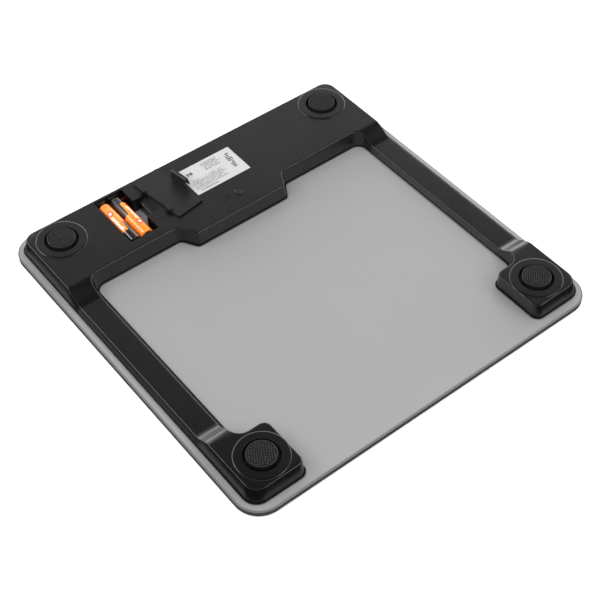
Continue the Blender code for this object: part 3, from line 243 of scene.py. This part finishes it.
class Graph:
    """A material and short calls that add its nodes."""

    def __init__(self, name, **surface):
        self.material = bpy.data.materials.new(name)
        self.material.use_nodes = True
        self.tree = self.material.node_tree
        self.shader = self.tree.nodes["Principled BSDF"]
        for socket, value in surface.items():
            self.shader.inputs[socket.replace("_", " ")].default_value = value
        self.place = self.add("ShaderNodeTexCoord").outputs["Object"]

    def add(self, kind, **settings):
        node = self.tree.nodes.new(kind)
        for key, value in settings.items():
            setattr(node, key, value)
        return node

    def put(self, socket, value):
        """Link a node's output to a socket, or set the socket to a plain value."""
        if isinstance(value, bpy.types.NodeSocket):
            self.tree.links.new(value, socket)
        else:
            socket.default_value = value

    def math(self, operation, first, second=0.0, third=0.0):
        node = self.add("ShaderNodeMath", operation=operation)
        for socket, value in zip(node.inputs, (first, second, third)):
            self.put(socket, value)
        return node.outputs[0]

    def axes(self):
        """The X, Y and Z of a point of the surface, in metres."""
        node = self.add("ShaderNodeSeparateXYZ")
        self.put(node.inputs[0], self.place)
        return node.outputs

    def vector(self, x, y, z=0.0):
        node = self.add("ShaderNodeCombineXYZ")
        for socket, value in zip(node.inputs, (x, y, z)):
            self.put(socket, value)
        return node.outputs[0]

    def noise(self, size, detail=3.0, vector=None):
        """Noise with features of about the given size in metres, from 0 to 1."""
        node = self.add("ShaderNodeTexNoise")
        self.put(node.inputs["Vector"], vector or self.place)
        node.inputs["Scale"].default_value = 1 / size
        node.inputs["Detail"].default_value = detail
        return node.outputs["Fac"]

    def between(self, value, low, high, low_to=0.0, high_to=1.0):
        """Stretch low..high of a value to low_to..high_to, and clamp it."""
        node = self.add("ShaderNodeMapRange")
        for socket, number in zip(node.inputs, (value, low, high, low_to, high_to)):
            self.put(socket, number)
        return node.outputs[0]

    def spread(self, noise, low_to=0.0, high_to=1.0):
        """Stretch the middle of a noise's range to low_to..high_to."""
        return self.between(noise, *NOISE_MIDDLE, low_to, high_to)

    def mix(self, share, first, second):
        node = self.add("ShaderNodeMix", data_type="RGBA")
        self.put(node.inputs["Factor"], share)
        for name, value in (("A", first), ("B", second)):
            socket = next(s for s in node.inputs if s.name == name and s.type == "RGBA")
            self.put(socket, (*value, 1.0) if isinstance(value, tuple) else value)
        return next(s for s in node.outputs if s.type == "RGBA")

    def inside(self, value, low, high):
        """1 where low < value < high, and 0 elsewhere."""
        above = self.math("GREATER_THAN", value, low)
        return self.math("MULTIPLY", above, self.math("LESS_THAN", value, high))

    def colour(self, value):
        self.put(self.shader.inputs["Base Color"], value)

    def roughness(self, value):
        self.put(self.shader.inputs["Roughness"], value)

    def bump(self, height, strength, distance):
        node = self.add("ShaderNodeBump")
        node.inputs["Strength"].default_value = strength
        node.inputs["Distance"].default_value = distance
        self.put(node.inputs["Height"], height)
        self.put(self.shader.inputs["Normal"], node.outputs[0])


def moulded_plastic(name, dark, light, low_rough, high_rough):
    """Satin moulded plastic: a fine sparked grain, faint flow marks and uneven gloss."""
    g = Graph(name)
    cloud = g.noise(35 * MM, 4.0)
    grain = g.noise(PLASTIC_GRAIN, 2.0)
    flow = g.noise(6 * MM, 5.0)
    g.colour(g.mix(g.spread(cloud), dark, light))
    blend_share = g.math("ADD", g.math("MULTIPLY", cloud, 0.7), g.math("MULTIPLY", flow, 0.3))
    g.roughness(g.spread(blend_share, low_rough, high_rough))
    g.bump(grain, 0.25, PLASTIC_GRAIN_DEPTH)
    return g.material


def brushed_metal(name, colour, roughness, scratch):
    """Rolled sheet metal with fine scratches and a few dull patches."""
    g = Graph(name, Metallic=1.0)
    x, y, z = g.axes()
    stretched = g.vector(g.math("MULTIPLY", x, 0.12), y, z)
    lines = g.noise(scratch, 3.0, stretched)
    patches = g.noise(4 * MM, 3.0)
    darker = tuple(0.72 * c for c in colour)
    g.colour(g.mix(g.between(patches, 0.35, 0.7), colour, darker))
    g.roughness(g.spread(lines, roughness * 0.7, roughness * 1.4))
    g.bump(lines, 0.25, 0.01 * MM)
    return g.material


def rubber():
    """Matt rubber, its dusty grey on top of its studs, painted black lower down as shade between them."""
    g = Graph("rubber")
    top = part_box("foot_pad_back_left")[1].z
    dust = g.noise(1.2 * MM, 5.0)
    # Painted shade: below the studs' tops the rubber fades to near black, as shade between the studs; the
    # paler colour is the rubber's dusty grey.
    blend_share = g.between(g.axes()[2], top - 0.8 * STUD_HEIGHT, top - 0.15 * STUD_HEIGHT)
    pale = g.mix(g.between(dust, 0.35, 0.75), (0.013, 0.013, 0.0135), (0.027, 0.027, 0.0275))
    g.colour(g.mix(blend_share, (0.0015, 0.0015, 0.0016), pale))
    g.roughness(g.spread(dust, 0.55, 0.8))
    g.bump(g.noise(0.25 * MM, 3.0), 0.5, 0.03 * MM)
    return g.material


def silver_paint():
    """Screen-printed silver paint with a fine metallic flake."""
    g = Graph("silver_paint", Metallic=0.35)
    flake = g.noise(0.35 * MM, 2.0)
    cloud = g.noise(90 * MM, 2.0)
    shade = g.math("ADD", g.math("MULTIPLY", flake, 0.8), g.math("MULTIPLY", cloud, 0.2))
    g.colour(g.mix(g.spread(shade), (0.265, 0.265, 0.267), (0.288, 0.288, 0.290)))
    g.roughness(g.spread(flake, 0.42, 0.52))
    g.bump(flake, 0.12, 0.008 * MM)
    return g.material


def float_glass():
    """Clear glass; its sides are ground to a dull dark grey, with a paler grey painted on the top chamfer as
    a highlight.
    """
    g = Graph("glass", IOR=1.5)
    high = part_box("glass_platform")[1]
    x, y, z = g.axes()
    edge_x = g.math("SUBTRACT", high.x, g.math("ABSOLUTE", x))
    edge_y = g.math("SUBTRACT", high.y, g.math("ABSOLUTE", y))
    corner_x = g.math("MAXIMUM", g.math("SUBTRACT", GLASS_CORNER, edge_x), 0.0)
    corner_y = g.math("MAXIMUM", g.math("SUBTRACT", GLASS_CORNER, edge_y), 0.0)
    reach = g.math("SQRT", g.math("ADD", g.math("POWER", corner_x, 2.0), g.math("POWER", corner_y, 2.0)))
    near = g.math("MINIMUM", g.math("MINIMUM", edge_x, edge_y), g.math("SUBTRACT", GLASS_CORNER, reach))
    ground = g.between(near, GROUND_FULL, GROUND_END, 1.0, 0.0)
    # Painted highlight: across the top chamfer the ground sides take the paler grey.
    chamfer = g.between(z, high.z - CHAMFER_LOW, high.z - CHAMFER_HIGH)
    grit = g.noise(0.3 * MM, 3.0)
    dark = g.mix(grit, (0.030, 0.031, 0.031), (0.048, 0.050, 0.050))
    pale = g.mix(grit, (0.075, 0.077, 0.077), (0.11, 0.113, 0.113))
    g.colour(g.mix(ground, (0.88, 0.92, 0.91), g.mix(chamfer, dark, pale)))
    g.put(g.shader.inputs["Transmission Weight"], g.math("SUBTRACT", 1.0, ground))
    g.roughness(g.math("MULTIPLY", ground, g.spread(grit, 0.28, 0.42)))
    return g.material


def foam_tape():
    """Black foam tape with fine open cells."""
    g = Graph("foam_tape")
    cells = g.noise(0.3 * MM, 2.0)
    g.colour(g.mix(cells, (0.01, 0.01, 0.01), (0.03, 0.03, 0.03)))
    g.roughness(g.spread(cells, 0.7, 0.95))
    g.bump(cells, 0.6, 0.05 * MM)
    return g.material


def battery_wrap(name, towards_nub, black_from):
    """Orange shrink wrap with a generic print and a black nub end, black further down the flank that faces
    the other cell.

    Places are along the cell's own Y, counted towards the nub.
    """
    g = Graph(name, Coat_Weight=0.6, Coat_Roughness=0.12)
    x, y, _ = g.axes()
    along = g.math("MULTIPLY", y, towards_nub)
    across = g.math("MULTIPLY", x, towards_nub)
    flank_low, flank_high = WRAP_FLANK - WRAP_FLANK_SOFT, WRAP_FLANK + WRAP_FLANK_SOFT
    flank = g.between(across, flank_low, flank_high, WRAP_FLANK_BLACK, black_from)
    black = g.math("GREATER_THAN", along, flank)
    sheen = g.noise(9 * MM, 2.0)
    orange = g.mix(g.spread(sheen), (0.80, 0.16, 0.012), (0.95, 0.25, 0.02))
    step = g.math("DIVIDE", along, WRAP_BAR_PITCH)
    spot = g.vector(g.math("MULTIPLY", g.math("FLOOR", step), WRAP_BAR_NOISE_STEP), 0.5)
    height = g.noise(1.0, 0.0, spot)
    bar_low = g.spread(height, WRAP_PRINT_LOW, WRAP_PRINT_LOW + WRAP_PRINT_UNEVEN)
    bar = g.inside(g.math("FRACT", step), *WRAP_BAR_SPAN)
    bar = g.math("MULTIPLY", bar, g.math("GREATER_THAN", across, bar_low))
    bar = g.math("MULTIPLY", bar, g.math("LESS_THAN", across, WRAP_PRINT_HIGH))
    ink = g.math("MULTIPLY", bar, g.inside(along, *WRAP_PRINT_SPAN))
    out_x = g.math("DIVIDE", g.math("SUBTRACT", across, WRAP_BADGE[0]), WRAP_BADGE_RADIUS)
    badge_reach = WRAP_BADGE_RADIUS * WRAP_BADGE_STRETCH
    out_y = g.math("DIVIDE", g.math("SUBTRACT", along, WRAP_BADGE[1]), badge_reach)
    distance = g.math("ADD", g.math("POWER", out_x, 2.0), g.math("POWER", out_y, 2.0))
    badge = g.between(distance, *WRAP_BADGE_FADE, 1.0, 0.0)
    heart = g.between(distance, *WRAP_HEART_FADE, 1.0, 0.0)
    colour = g.mix(badge, orange, (0.70, 0.05, 0.04))
    colour = g.mix(ink, colour, (0.88, 0.84, 0.80))
    colour = g.mix(heart, colour, (0.90, 0.72, 0.66))
    g.colour(g.mix(black, colour, (0.006, 0.006, 0.006)))
    g.roughness(g.spread(sheen, 0.22, 0.34))
    g.bump(g.noise(2.5 * MM, 2.0), 0.15, 0.05 * MM)
    return g.material


def label_paper():
    """White coated paper with generic grey print: blocks of short bars that spell nothing."""
    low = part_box("rating_label")[0]
    g = Graph("label_paper", Coat_Weight=0.3, Coat_Roughness=0.3)
    x, y, _ = g.axes()
    across = g.math("SUBTRACT", x, low.x)
    up = g.math("SUBTRACT", y, low.y)

    def print_block(left, right, bottom, top, pitch, fill, word, seed, strength):
        """How much ink one block puts on the paper, from 0 to strength."""
        left, right, bottom, top = left * MM, right * MM, bottom * MM, top * MM
        row = g.math("DIVIDE", g.math("SUBTRACT", up, bottom), pitch * MM)
        row_number = g.math("FLOOR", row)
        line = g.inside(g.math("FRACT", row), 0.5 - fill / 2, 0.5 + fill / 2)
        row_step = g.math("MULTIPLY", row_number, PRINT_ROW_NOISE_STEP)
        spot = g.vector(g.math("DIVIDE", across, word * MM), row_step, seed)
        bars = g.math("GREATER_THAN", g.noise(1.0, 1.0, spot), PRINT_SHARE_BARE)
        ragged = g.noise(1.0, 0.0, g.vector(seed, g.math("MULTIPLY", row_number, PRINT_END_NOISE_STEP)))
        end = g.spread(ragged, right - (right - left) * PRINT_RAGGED, right)
        width = g.math("MULTIPLY", g.math("GREATER_THAN", across, left), g.math("LESS_THAN", across, end))
        block = g.math("MULTIPLY", width, g.inside(up, bottom, top))
        return g.math("MULTIPLY", g.math("MULTIPLY", g.math("MULTIPLY", line, bars), block), strength)

    ink = 0.0
    for block in PRINT_BLOCKS:
        ink = g.math("MAXIMUM", print_block(**block), ink)
    fibre = g.noise(0.7 * MM, 4.0)
    paper = g.mix(g.spread(fibre), (0.35, 0.35, 0.347), (0.39, 0.39, 0.386))
    g.colour(g.mix(ink, paper, (0.03, 0.03, 0.035)))
    g.roughness(g.spread(fibre, 0.42, 0.55))
    g.bump(fibre, 0.15, 0.02 * MM)
    return g.material


def circuit_board():
    """Green laminate with paler tracks that wander under the solder mask."""
    g = Graph("board_laminate", Coat_Weight=0.4, Coat_Roughness=0.2)
    wander = g.math("MULTIPLY", g.noise(9 * MM, 0.0), TRACK_WANDER)
    across = g.math("DIVIDE", g.math("ADD", g.axes()[0], wander), TRACK_PITCH)
    tracks = g.inside(g.math("FRACT", across), *TRACK_SPAN)
    g.colour(g.mix(tracks, (0.012, 0.10, 0.035), (0.02, 0.18, 0.06)))
    g.roughness(g.spread(g.noise(1 * MM), 0.3, 0.45))
    g.bump(tracks, 0.3, 0.03 * MM)
    return g.material


def display_glass():
    """A dormant liquid crystal panel: grey-green, with faint segment rows."""
    g = Graph("display_glass", Coat_Weight=1.0, Coat_Roughness=0.03)
    x, y, _ = g.axes()
    column = g.inside(g.math("FRACT", g.math("DIVIDE", x, DIGIT_PITCH)), *DIGIT_SPAN)
    row = g.inside(g.math("FRACT", g.math("DIVIDE", y, DIGIT_ROW)), *DIGIT_ROW_SPAN)
    ghost = g.math("MULTIPLY", column, row)
    g.colour(g.mix(g.math("MULTIPLY", ghost, 0.2), (0.20, 0.23, 0.19), (0.08, 0.09, 0.07)))
    g.roughness(g.spread(g.noise(5 * MM), 0.12, 0.2))
    return g.material


MATERIALS = {
    "glass": float_glass(),
    "silver_paint": silver_paint(),
    "foam_tape": foam_tape(),
    "rubber": rubber(),
    "battery_wrap": battery_wrap("battery_wrap", 1.0, 0.0),
    "display_glass": display_glass(),
    "board_laminate": circuit_board(),
    "label_paper": label_paper(),
}
MATERIALS.update((name, moulded_plastic(name, *look)) for name, look in PLASTICS.items())
MATERIALS.update((name, brushed_metal(name, *look)) for name, look in METALS.items())


# ---------------------------------------------------------------- the frame's own pieces

def smooth_by_angle(limit):
    """A node group that smooths a mesh except across edges sharper than limit."""
    group = bpy.data.node_groups.new("smooth_by_angle", "GeometryNodeTree")
    group.interface.new_socket("Geometry", in_out="INPUT", socket_type="NodeSocketGeometry")
    group.interface.new_socket("Geometry", in_out="OUTPUT", socket_type="NodeSocketGeometry")
    start = group.nodes.new("NodeGroupInput")
    end = group.nodes.new("NodeGroupOutput")
    angle = group.nodes.new("GeometryNodeInputMeshEdgeAngle")
    sharper = group.nodes.new("FunctionNodeCompare")
    sharper.operation = "GREATER_THAN"
    sharper.inputs["B"].default_value = limit
    faces = group.nodes.new("GeometryNodeSetShadeSmooth")
    faces.domain = "FACE"
    edges = group.nodes.new("GeometryNodeSetShadeSmooth")
    edges.domain = "EDGE"
    edges.inputs["Shade Smooth"].default_value = False
    link = group.links.new
    link(angle.outputs["Unsigned Angle"], sharper.inputs["A"])
    link(start.outputs[0], faces.inputs["Geometry"])
    link(faces.outputs[0], edges.inputs["Geometry"])
    link(sharper.outputs[0], edges.inputs["Selection"])
    link(edges.outputs[0], end.inputs[0])
    return group


SMOOTH = smooth_by_angle(SMOOTH_ANGLE)


def drop_imported_normals(obj):
    """Remove the flat normals that the frame's meshes come with, so that modifiers set new ones."""
    attribute = obj.data.attributes.get("custom_normal")
    if attribute is not None:
        obj.data.attributes.remove(attribute)
    obj.data.shade_smooth()


def refine(obj, bevel):
    """Weld a frame piece's facets, ease its edges and light it as a smooth surface."""
    drop_imported_normals(obj)
    weld = obj.modifiers.new("weld", "WELD")
    weld.merge_threshold = WELD
    if bevel:
        flat = obj.modifiers.new("flat_faces", "DECIMATE")
        flat.decimate_type = "DISSOLVE"
        flat.angle_limit = FLAT_ANGLE
        ease = obj.modifiers.new("eased_edges", "BEVEL")
        ease.width = bevel
        ease.segments = BEVEL_SEGMENTS
        ease.limit_method = "ANGLE"
        ease.angle_limit = BEVEL_ANGLE
        ease.use_clamp_overlap = True
    smooth = obj.modifiers.new("smooth", "NODES")
    smooth.node_group = SMOOTH
    weighted = obj.modifiers.new("weighted_normals", "WEIGHTED_NORMAL")
    weighted.keep_sharp = True
    weighted.weight = NORMAL_WEIGHT


def finish_frame_pieces():
    """Refine every piece of the frame, and give it the finished material of its slot."""
    for name, obj in NODES.items():
        bevel = next((size for key, size in BEVELS.items() if name.startswith(key)), 0.0)
        refine(obj, bevel)
        for slot in obj.material_slots:
            base = slot.material.name.split(".")[0]
            slot.material = MATERIALS[base]


# ---------------------------------------------------------------- new pieces

def new_object(name, bm, material, body, sharp=SMOOTH_ANGLE, place=(0, 0, 0)):
    """Make a piece from a bmesh, light it as smooth and let it ride on a body."""
    bmesh.ops.recalc_face_normals(bm, faces=bm.faces)
    mesh = bpy.data.meshes.new(name)
    bm.to_mesh(mesh)
    bm.free()
    mesh.shade_smooth()
    mesh.set_sharp_from_angle(angle=sharp)
    mesh.materials.append(material)
    obj = bpy.data.objects.new(name, mesh)
    obj.location = place
    bpy.context.scene.collection.objects.link(obj)
    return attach(obj, body)


def lathe(bm, profile, steps, matrix):
    """Add a closed turned shape: profile is (radius, height) points from axis to axis."""
    angles = [math.tau * i / steps for i in range(steps)]
    rings = []
    for radius, height in profile:
        if radius == 0:
            points = [(0, 0, height)]
        else:
            points = [(radius * math.cos(a), radius * math.sin(a), height) for a in angles]
        rings.append([bm.verts.new(matrix @ Vector(point)) for point in points])
    for lower, upper in zip(rings, rings[1:]):
        for i in range(steps):
            j = (i + 1) % steps
            corners = [lower[i % len(lower)], lower[j % len(lower)]]
            corners += [upper[j % len(upper)], upper[i % len(upper)]]
            bm.faces.new(list(dict.fromkeys(corners)))


def arc(centre_radius, centre_height, radius, start, end, steps):
    """Points of a profile's round edge, angles in degrees from the outward direction."""
    points = []
    for step in range(steps + 1):
        angle = math.radians(start + (end - start) * step / steps)
        points.append((centre_radius + radius * math.cos(angle), centre_height + radius * math.sin(angle)))
    return points


def stud(bm, x, y, base, height, half, matrix):
    """A small pillow-shaped stud, square with rounded corners."""
    rings = []
    for share, rise in STUD_LEVELS:
        points = []
        for i in range(STUD_SIDES):
            angle = math.tau * (i + 0.5) / STUD_SIDES
            reach = half * share * STUD_CORNER_REACH
            corner = Vector((x + reach * math.cos(angle), y + reach * math.sin(angle), base + height * rise))
            points.append(bm.verts.new(matrix @ corner))
        rings.append(points)
    for lower, upper in zip(rings, rings[1:]):
        for i in range(STUD_SIDES):
            j = (i + 1) % STUD_SIDES
            bm.faces.new((lower[i], lower[j], upper[j], upper[i]))
    bm.faces.new(rings[-1])
    bm.faces.new(list(reversed(rings[0])))


def build_pad(corner):
    """A rubber pad with a rounded rim and rows of small studs."""
    low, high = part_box(f"foot_pad_{corner}")
    centre = (low + high) / 2
    radius = (high.x - low.x) / 2
    floor = high.z - STUD_HEIGHT
    turn = Matrix.Rotation(math.radians(PAD_TURNS[corner]), 4, "Z")
    turn = Matrix.Translation((centre.x, centre.y, 0)) @ turn
    bm = bmesh.new()
    profile = [(0, low.z), (radius - PAD_FOOT_EDGE, low.z), (radius, low.z + PAD_FOOT_EDGE)]
    rim_top = high.z - PAD_RIM_DROP
    profile += arc(radius - PAD_RIM, rim_top - PAD_RIM, PAD_RIM, 0, 90, PAD_RIM_STEPS)
    groove = radius - PAD_RIM - PAD_RIM_LAND
    groove_foot = groove - PAD_GROOVE_SLOPE
    profile += [(groove, rim_top - PAD_RIM_FALL), (groove_foot, floor), (0, floor)]
    lathe(bm, profile, PAD_STEPS, turn)
    reach = int(radius / STUD_PITCH) + 1
    limit = groove_foot - STUD_HALF * STUD_CORNER_REACH
    base = floor - STUD_SUNK
    rise = STUD_HEIGHT + STUD_SUNK - STUD_BELOW_TOP
    for i in range(-reach, reach + 1):
        for j in range(-reach, reach + 1):
            x, y = i * STUD_PITCH, j * STUD_PITCH
            if math.hypot(x, y) < limit:
                stud(bm, x, y, base, rise, STUD_HALF, turn)
    pad = new_object(f"pad_{corner}", bm, MATERIALS["rubber"], f"foot_{corner}", PAD_SMOOTH_ANGLE)
    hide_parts(f"foot_pad_{corner}")


def sleeve_profile(radius, half, shoulder):
    """The wrap: a rim round the flat end, a long side, and a rim round the nub."""
    flat_rim = -half + SLEEVE_FLAT_INSET
    flat_floor = -half + SLEEVE_FLAT_FLOOR
    nub_floor = shoulder - SLEEVE_NUB_FLOOR
    profile = [(0, flat_floor), (radius - SLEEVE_FLAT_LIP, flat_floor), (radius - SLEEVE_FLAT_LIP, flat_rim)]
    profile += [(radius - SLEEVE_EDGE, flat_rim)]
    side = radius - SLEEVE_EDGE
    profile += arc(side, flat_rim + SLEEVE_EDGE, SLEEVE_EDGE, -90, 0, SLEEVE_EDGE_STEPS)[1:]
    profile += arc(side, shoulder - SLEEVE_EDGE, SLEEVE_EDGE, 0, 90, SLEEVE_EDGE_STEPS)
    profile += [(radius - SLEEVE_NUB_LIP, shoulder), (radius - SLEEVE_NUB_HOLE, nub_floor), (0, nub_floor)]
    return profile


def nub_profile(half, shoulder):
    """The cap under the wrap's rim with the nub that stands on it."""
    flange = NUB_RADIUS + NUB_FLANGE
    profile = [(0, shoulder - NUB_FLANGE_LOW), (flange, shoulder - NUB_FLANGE_LOW)]
    profile += [(flange, shoulder - NUB_FLANGE_SLOPE), (NUB_RADIUS + NUB_FILLET, shoulder + NUB_FLANGE_SLOPE)]
    profile += [(NUB_RADIUS, shoulder + NUB_FILLET_TOP)]
    profile += arc(NUB_RADIUS - NUB_EDGE, half - NUB_EDGE, NUB_EDGE, 0, 90, NUB_EDGE_STEPS)
    profile += [(0, half)]
    return profile


def can_profile(radius, half):
    """The bare end of the can inside the wrap's rim."""
    profile = [(0, -half), (radius - CAN_FLAT_INSET, -half), (radius - CAN_INSET, -half + CAN_RISE)]
    profile += [(radius - CAN_INSET, -half + CAN_TOP), (0, -half + CAN_TOP)]
    return profile


def build_cell(node, towards_nub, black_from):
    """A dry cell lying along Y in a printed sleeve, its nub towards +Y or, at -1, towards -Y."""
    low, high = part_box(node)
    centre = (low + high) / 2
    radius = (high.x - low.x) / 2
    half = (high.y - low.y) / 2
    lay = Matrix.Rotation(-towards_nub * math.pi / 2, 4, "X")
    shoulder = half - NUB_LENGTH
    sleeve = bmesh.new()
    lathe(sleeve, sleeve_profile(radius, half, shoulder), SLEEVE_STEPS, lay)
    wrap = battery_wrap(f"wrap_{node}", towards_nub, black_from)
    body = new_object(f"{node}_sleeve", sleeve, wrap, node, place=centre)
    ends = bmesh.new()
    lathe(ends, nub_profile(half, shoulder), END_STEPS, lay)
    lathe(ends, can_profile(radius, half), END_STEPS, lay)
    caps = new_object(f"{node}_ends", ends, MATERIALS["cell_cap"], node, place=centre)
    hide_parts(node)


def build_marks():
    """Low moulded bars beside the unit button, a generic stand-in for the marks there."""
    low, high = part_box("unit_button")
    middle = (low + high) / 2
    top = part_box("rating_label")[0].z
    bm = bmesh.new()
    for shift, widths in MARK_ROWS:
        x = middle.x - MARK_OFFSET
        y = middle.y + shift
        for width in widths:
            size = Matrix.Diagonal((width, MARK_DEPTH, MARK_HEIGHT, 1))
            place = Matrix.Translation((x - width / 2, y, top + MARK_HEIGHT / 2))
            bmesh.ops.create_cube(bm, size=1.0, matrix=place @ size)
            x -= width + MARK_GAP
    marks = new_object("unit_marks", bm, MATERIALS["button_plastic"], "scale_base")


def build_new_pieces():
    """Make the pieces that only the looks have, or that stand for a plain solid."""
    for corner in CORNERS:
        build_pad(corner)
    for node, wrap in CELLS.items():
        build_cell(node, **wrap)
    build_marks()


# ---------------------------------------------------------------- camera, light and floor

def build_camera():
    """A camera at CAMERA_DISTANCE from its target, rolled about its view."""
    a, e, roll = CAMERA_AZIMUTH, CAMERA_ELEVATION, CAMERA_ROLL
    back = Vector((math.sin(a) * math.cos(e), -math.cos(a) * math.cos(e), math.sin(e)))
    right = Vector((math.cos(a), math.sin(a), 0))
    up = back.cross(right)
    turned_right = math.cos(roll) * right + math.sin(roll) * up
    turned_up = -math.sin(roll) * right + math.cos(roll) * up
    place = Vector(CAMERA_TARGET) + back * CAMERA_DISTANCE
    data = bpy.data.cameras.new("camera")
    data.lens = CAMERA_LENS
    data.clip_start = CAMERA_NEAR
    camera = bpy.data.objects.new("camera", data)
    bpy.context.scene.collection.objects.link(camera)
    axes = Matrix((turned_right, turned_up, back)).transposed().to_4x4()
    camera.matrix_world = Matrix.Translation(place) @ axes
    bpy.context.scene.camera = camera


def add_area(name, azimuth, elevation, size, power, seen_in_gloss):
    """An area lamp aimed at the origin; azimuth 0 is towards -Y, and a positive one turns to +X."""
    a, e = math.radians(azimuth), math.radians(elevation)
    away = Vector((math.sin(a) * math.cos(e), -math.cos(a) * math.cos(e), math.sin(e)))
    data = bpy.data.lights.new(name, "AREA")
    data.shape = "RECTANGLE"
    data.size, data.size_y = size
    data.energy = power
    light = bpy.data.objects.new(name, data)
    light.location = away * LAMP_DISTANCE
    light.rotation_euler = away.to_track_quat("Z", "Y").to_euler()
    light.visible_glossy = seen_in_gloss
    bpy.context.scene.collection.objects.link(light)


def build_light():
    """A bright backdrop low behind the scale, a dimming sky over it, and the lamps."""
    world = bpy.data.worlds.new("studio")
    bpy.context.scene.world = world
    world.use_nodes = True
    tree = world.node_tree
    link = tree.links.new
    axes = tree.nodes.new("ShaderNodeSeparateXYZ")
    link(tree.nodes.new("ShaderNodeTexCoord").outputs["Generated"], axes.inputs[0])

    def ramp(value, stops):
        """The level at a value, read from (position, level) stops."""
        node = tree.nodes.new("ShaderNodeValToRGB")
        elements = node.color_ramp.elements
        for element, (position, level) in zip(elements, (stops[0], stops[-1])):
            element.position = position
            element.color = (level, level, level, 1)
        for position, level in stops[1:-1]:
            elements.new(position).color = (level, level, level, 1)
        link(value, node.inputs[0])
        return node.outputs[0]

    def combine(operation, first, second):
        """A math node; MULTIPLY_ADD adds 0.5, which brings a halved direction from -1..1 to 0..1."""
        node = tree.nodes.new("ShaderNodeMath")
        node.operation = operation
        for socket, value in zip(node.inputs, (first, second)):
            if isinstance(value, bpy.types.NodeSocket):
                link(value, socket)
            else:
                socket.default_value = value
        node.inputs[2].default_value = 0.5
        return node.outputs[0]

    height = combine("MULTIPLY_ADD", axes.outputs["Z"], 0.5)
    sky = ramp(height, SKY)
    band = ramp(height, BACKDROP_BAND)
    ahead_x = combine("MULTIPLY_ADD", axes.outputs["X"], BACKDROP_AHEAD[0] / 2)
    ahead_y = combine("MULTIPLY", axes.outputs["Y"], BACKDROP_AHEAD[1] / 2)
    behind = ramp(combine("ADD", ahead_x, ahead_y), BACKDROP_SIDE)
    backdrop = combine("MULTIPLY", combine("MULTIPLY", band, behind), BACKDROP_LEVEL)
    link(combine("ADD", sky, backdrop), tree.nodes["Background"].inputs[0])
    for name, lamp in LAMPS.items():
        add_area(name, *lamp)
    bpy.context.scene.view_settings.view_transform = "Standard"


def build_floor():
    """A wide, pale, plain floor just under the glass."""
    bm = bmesh.new()
    bmesh.ops.create_grid(bm, x_segments=1, y_segments=1, size=FLOOR_HALF)
    mesh = bpy.data.meshes.new("floor")
    bm.to_mesh(mesh)
    bm.free()
    floor = bpy.data.objects.new("floor", mesh)
    floor.location.z = -FLOOR_DROP
    g = Graph("floor", Roughness=0.9)
    g.colour(g.mix(g.noise(0.5, 2.0), (0.86, 0.86, 0.86), (0.88, 0.88, 0.88)))
    mesh.materials.append(g.material)
    floor.visible_glossy = False
    bpy.context.scene.collection.objects.link(floor)


build_camera()
build_light()
build_floor()
finish_frame_pieces()
build_new_pieces()
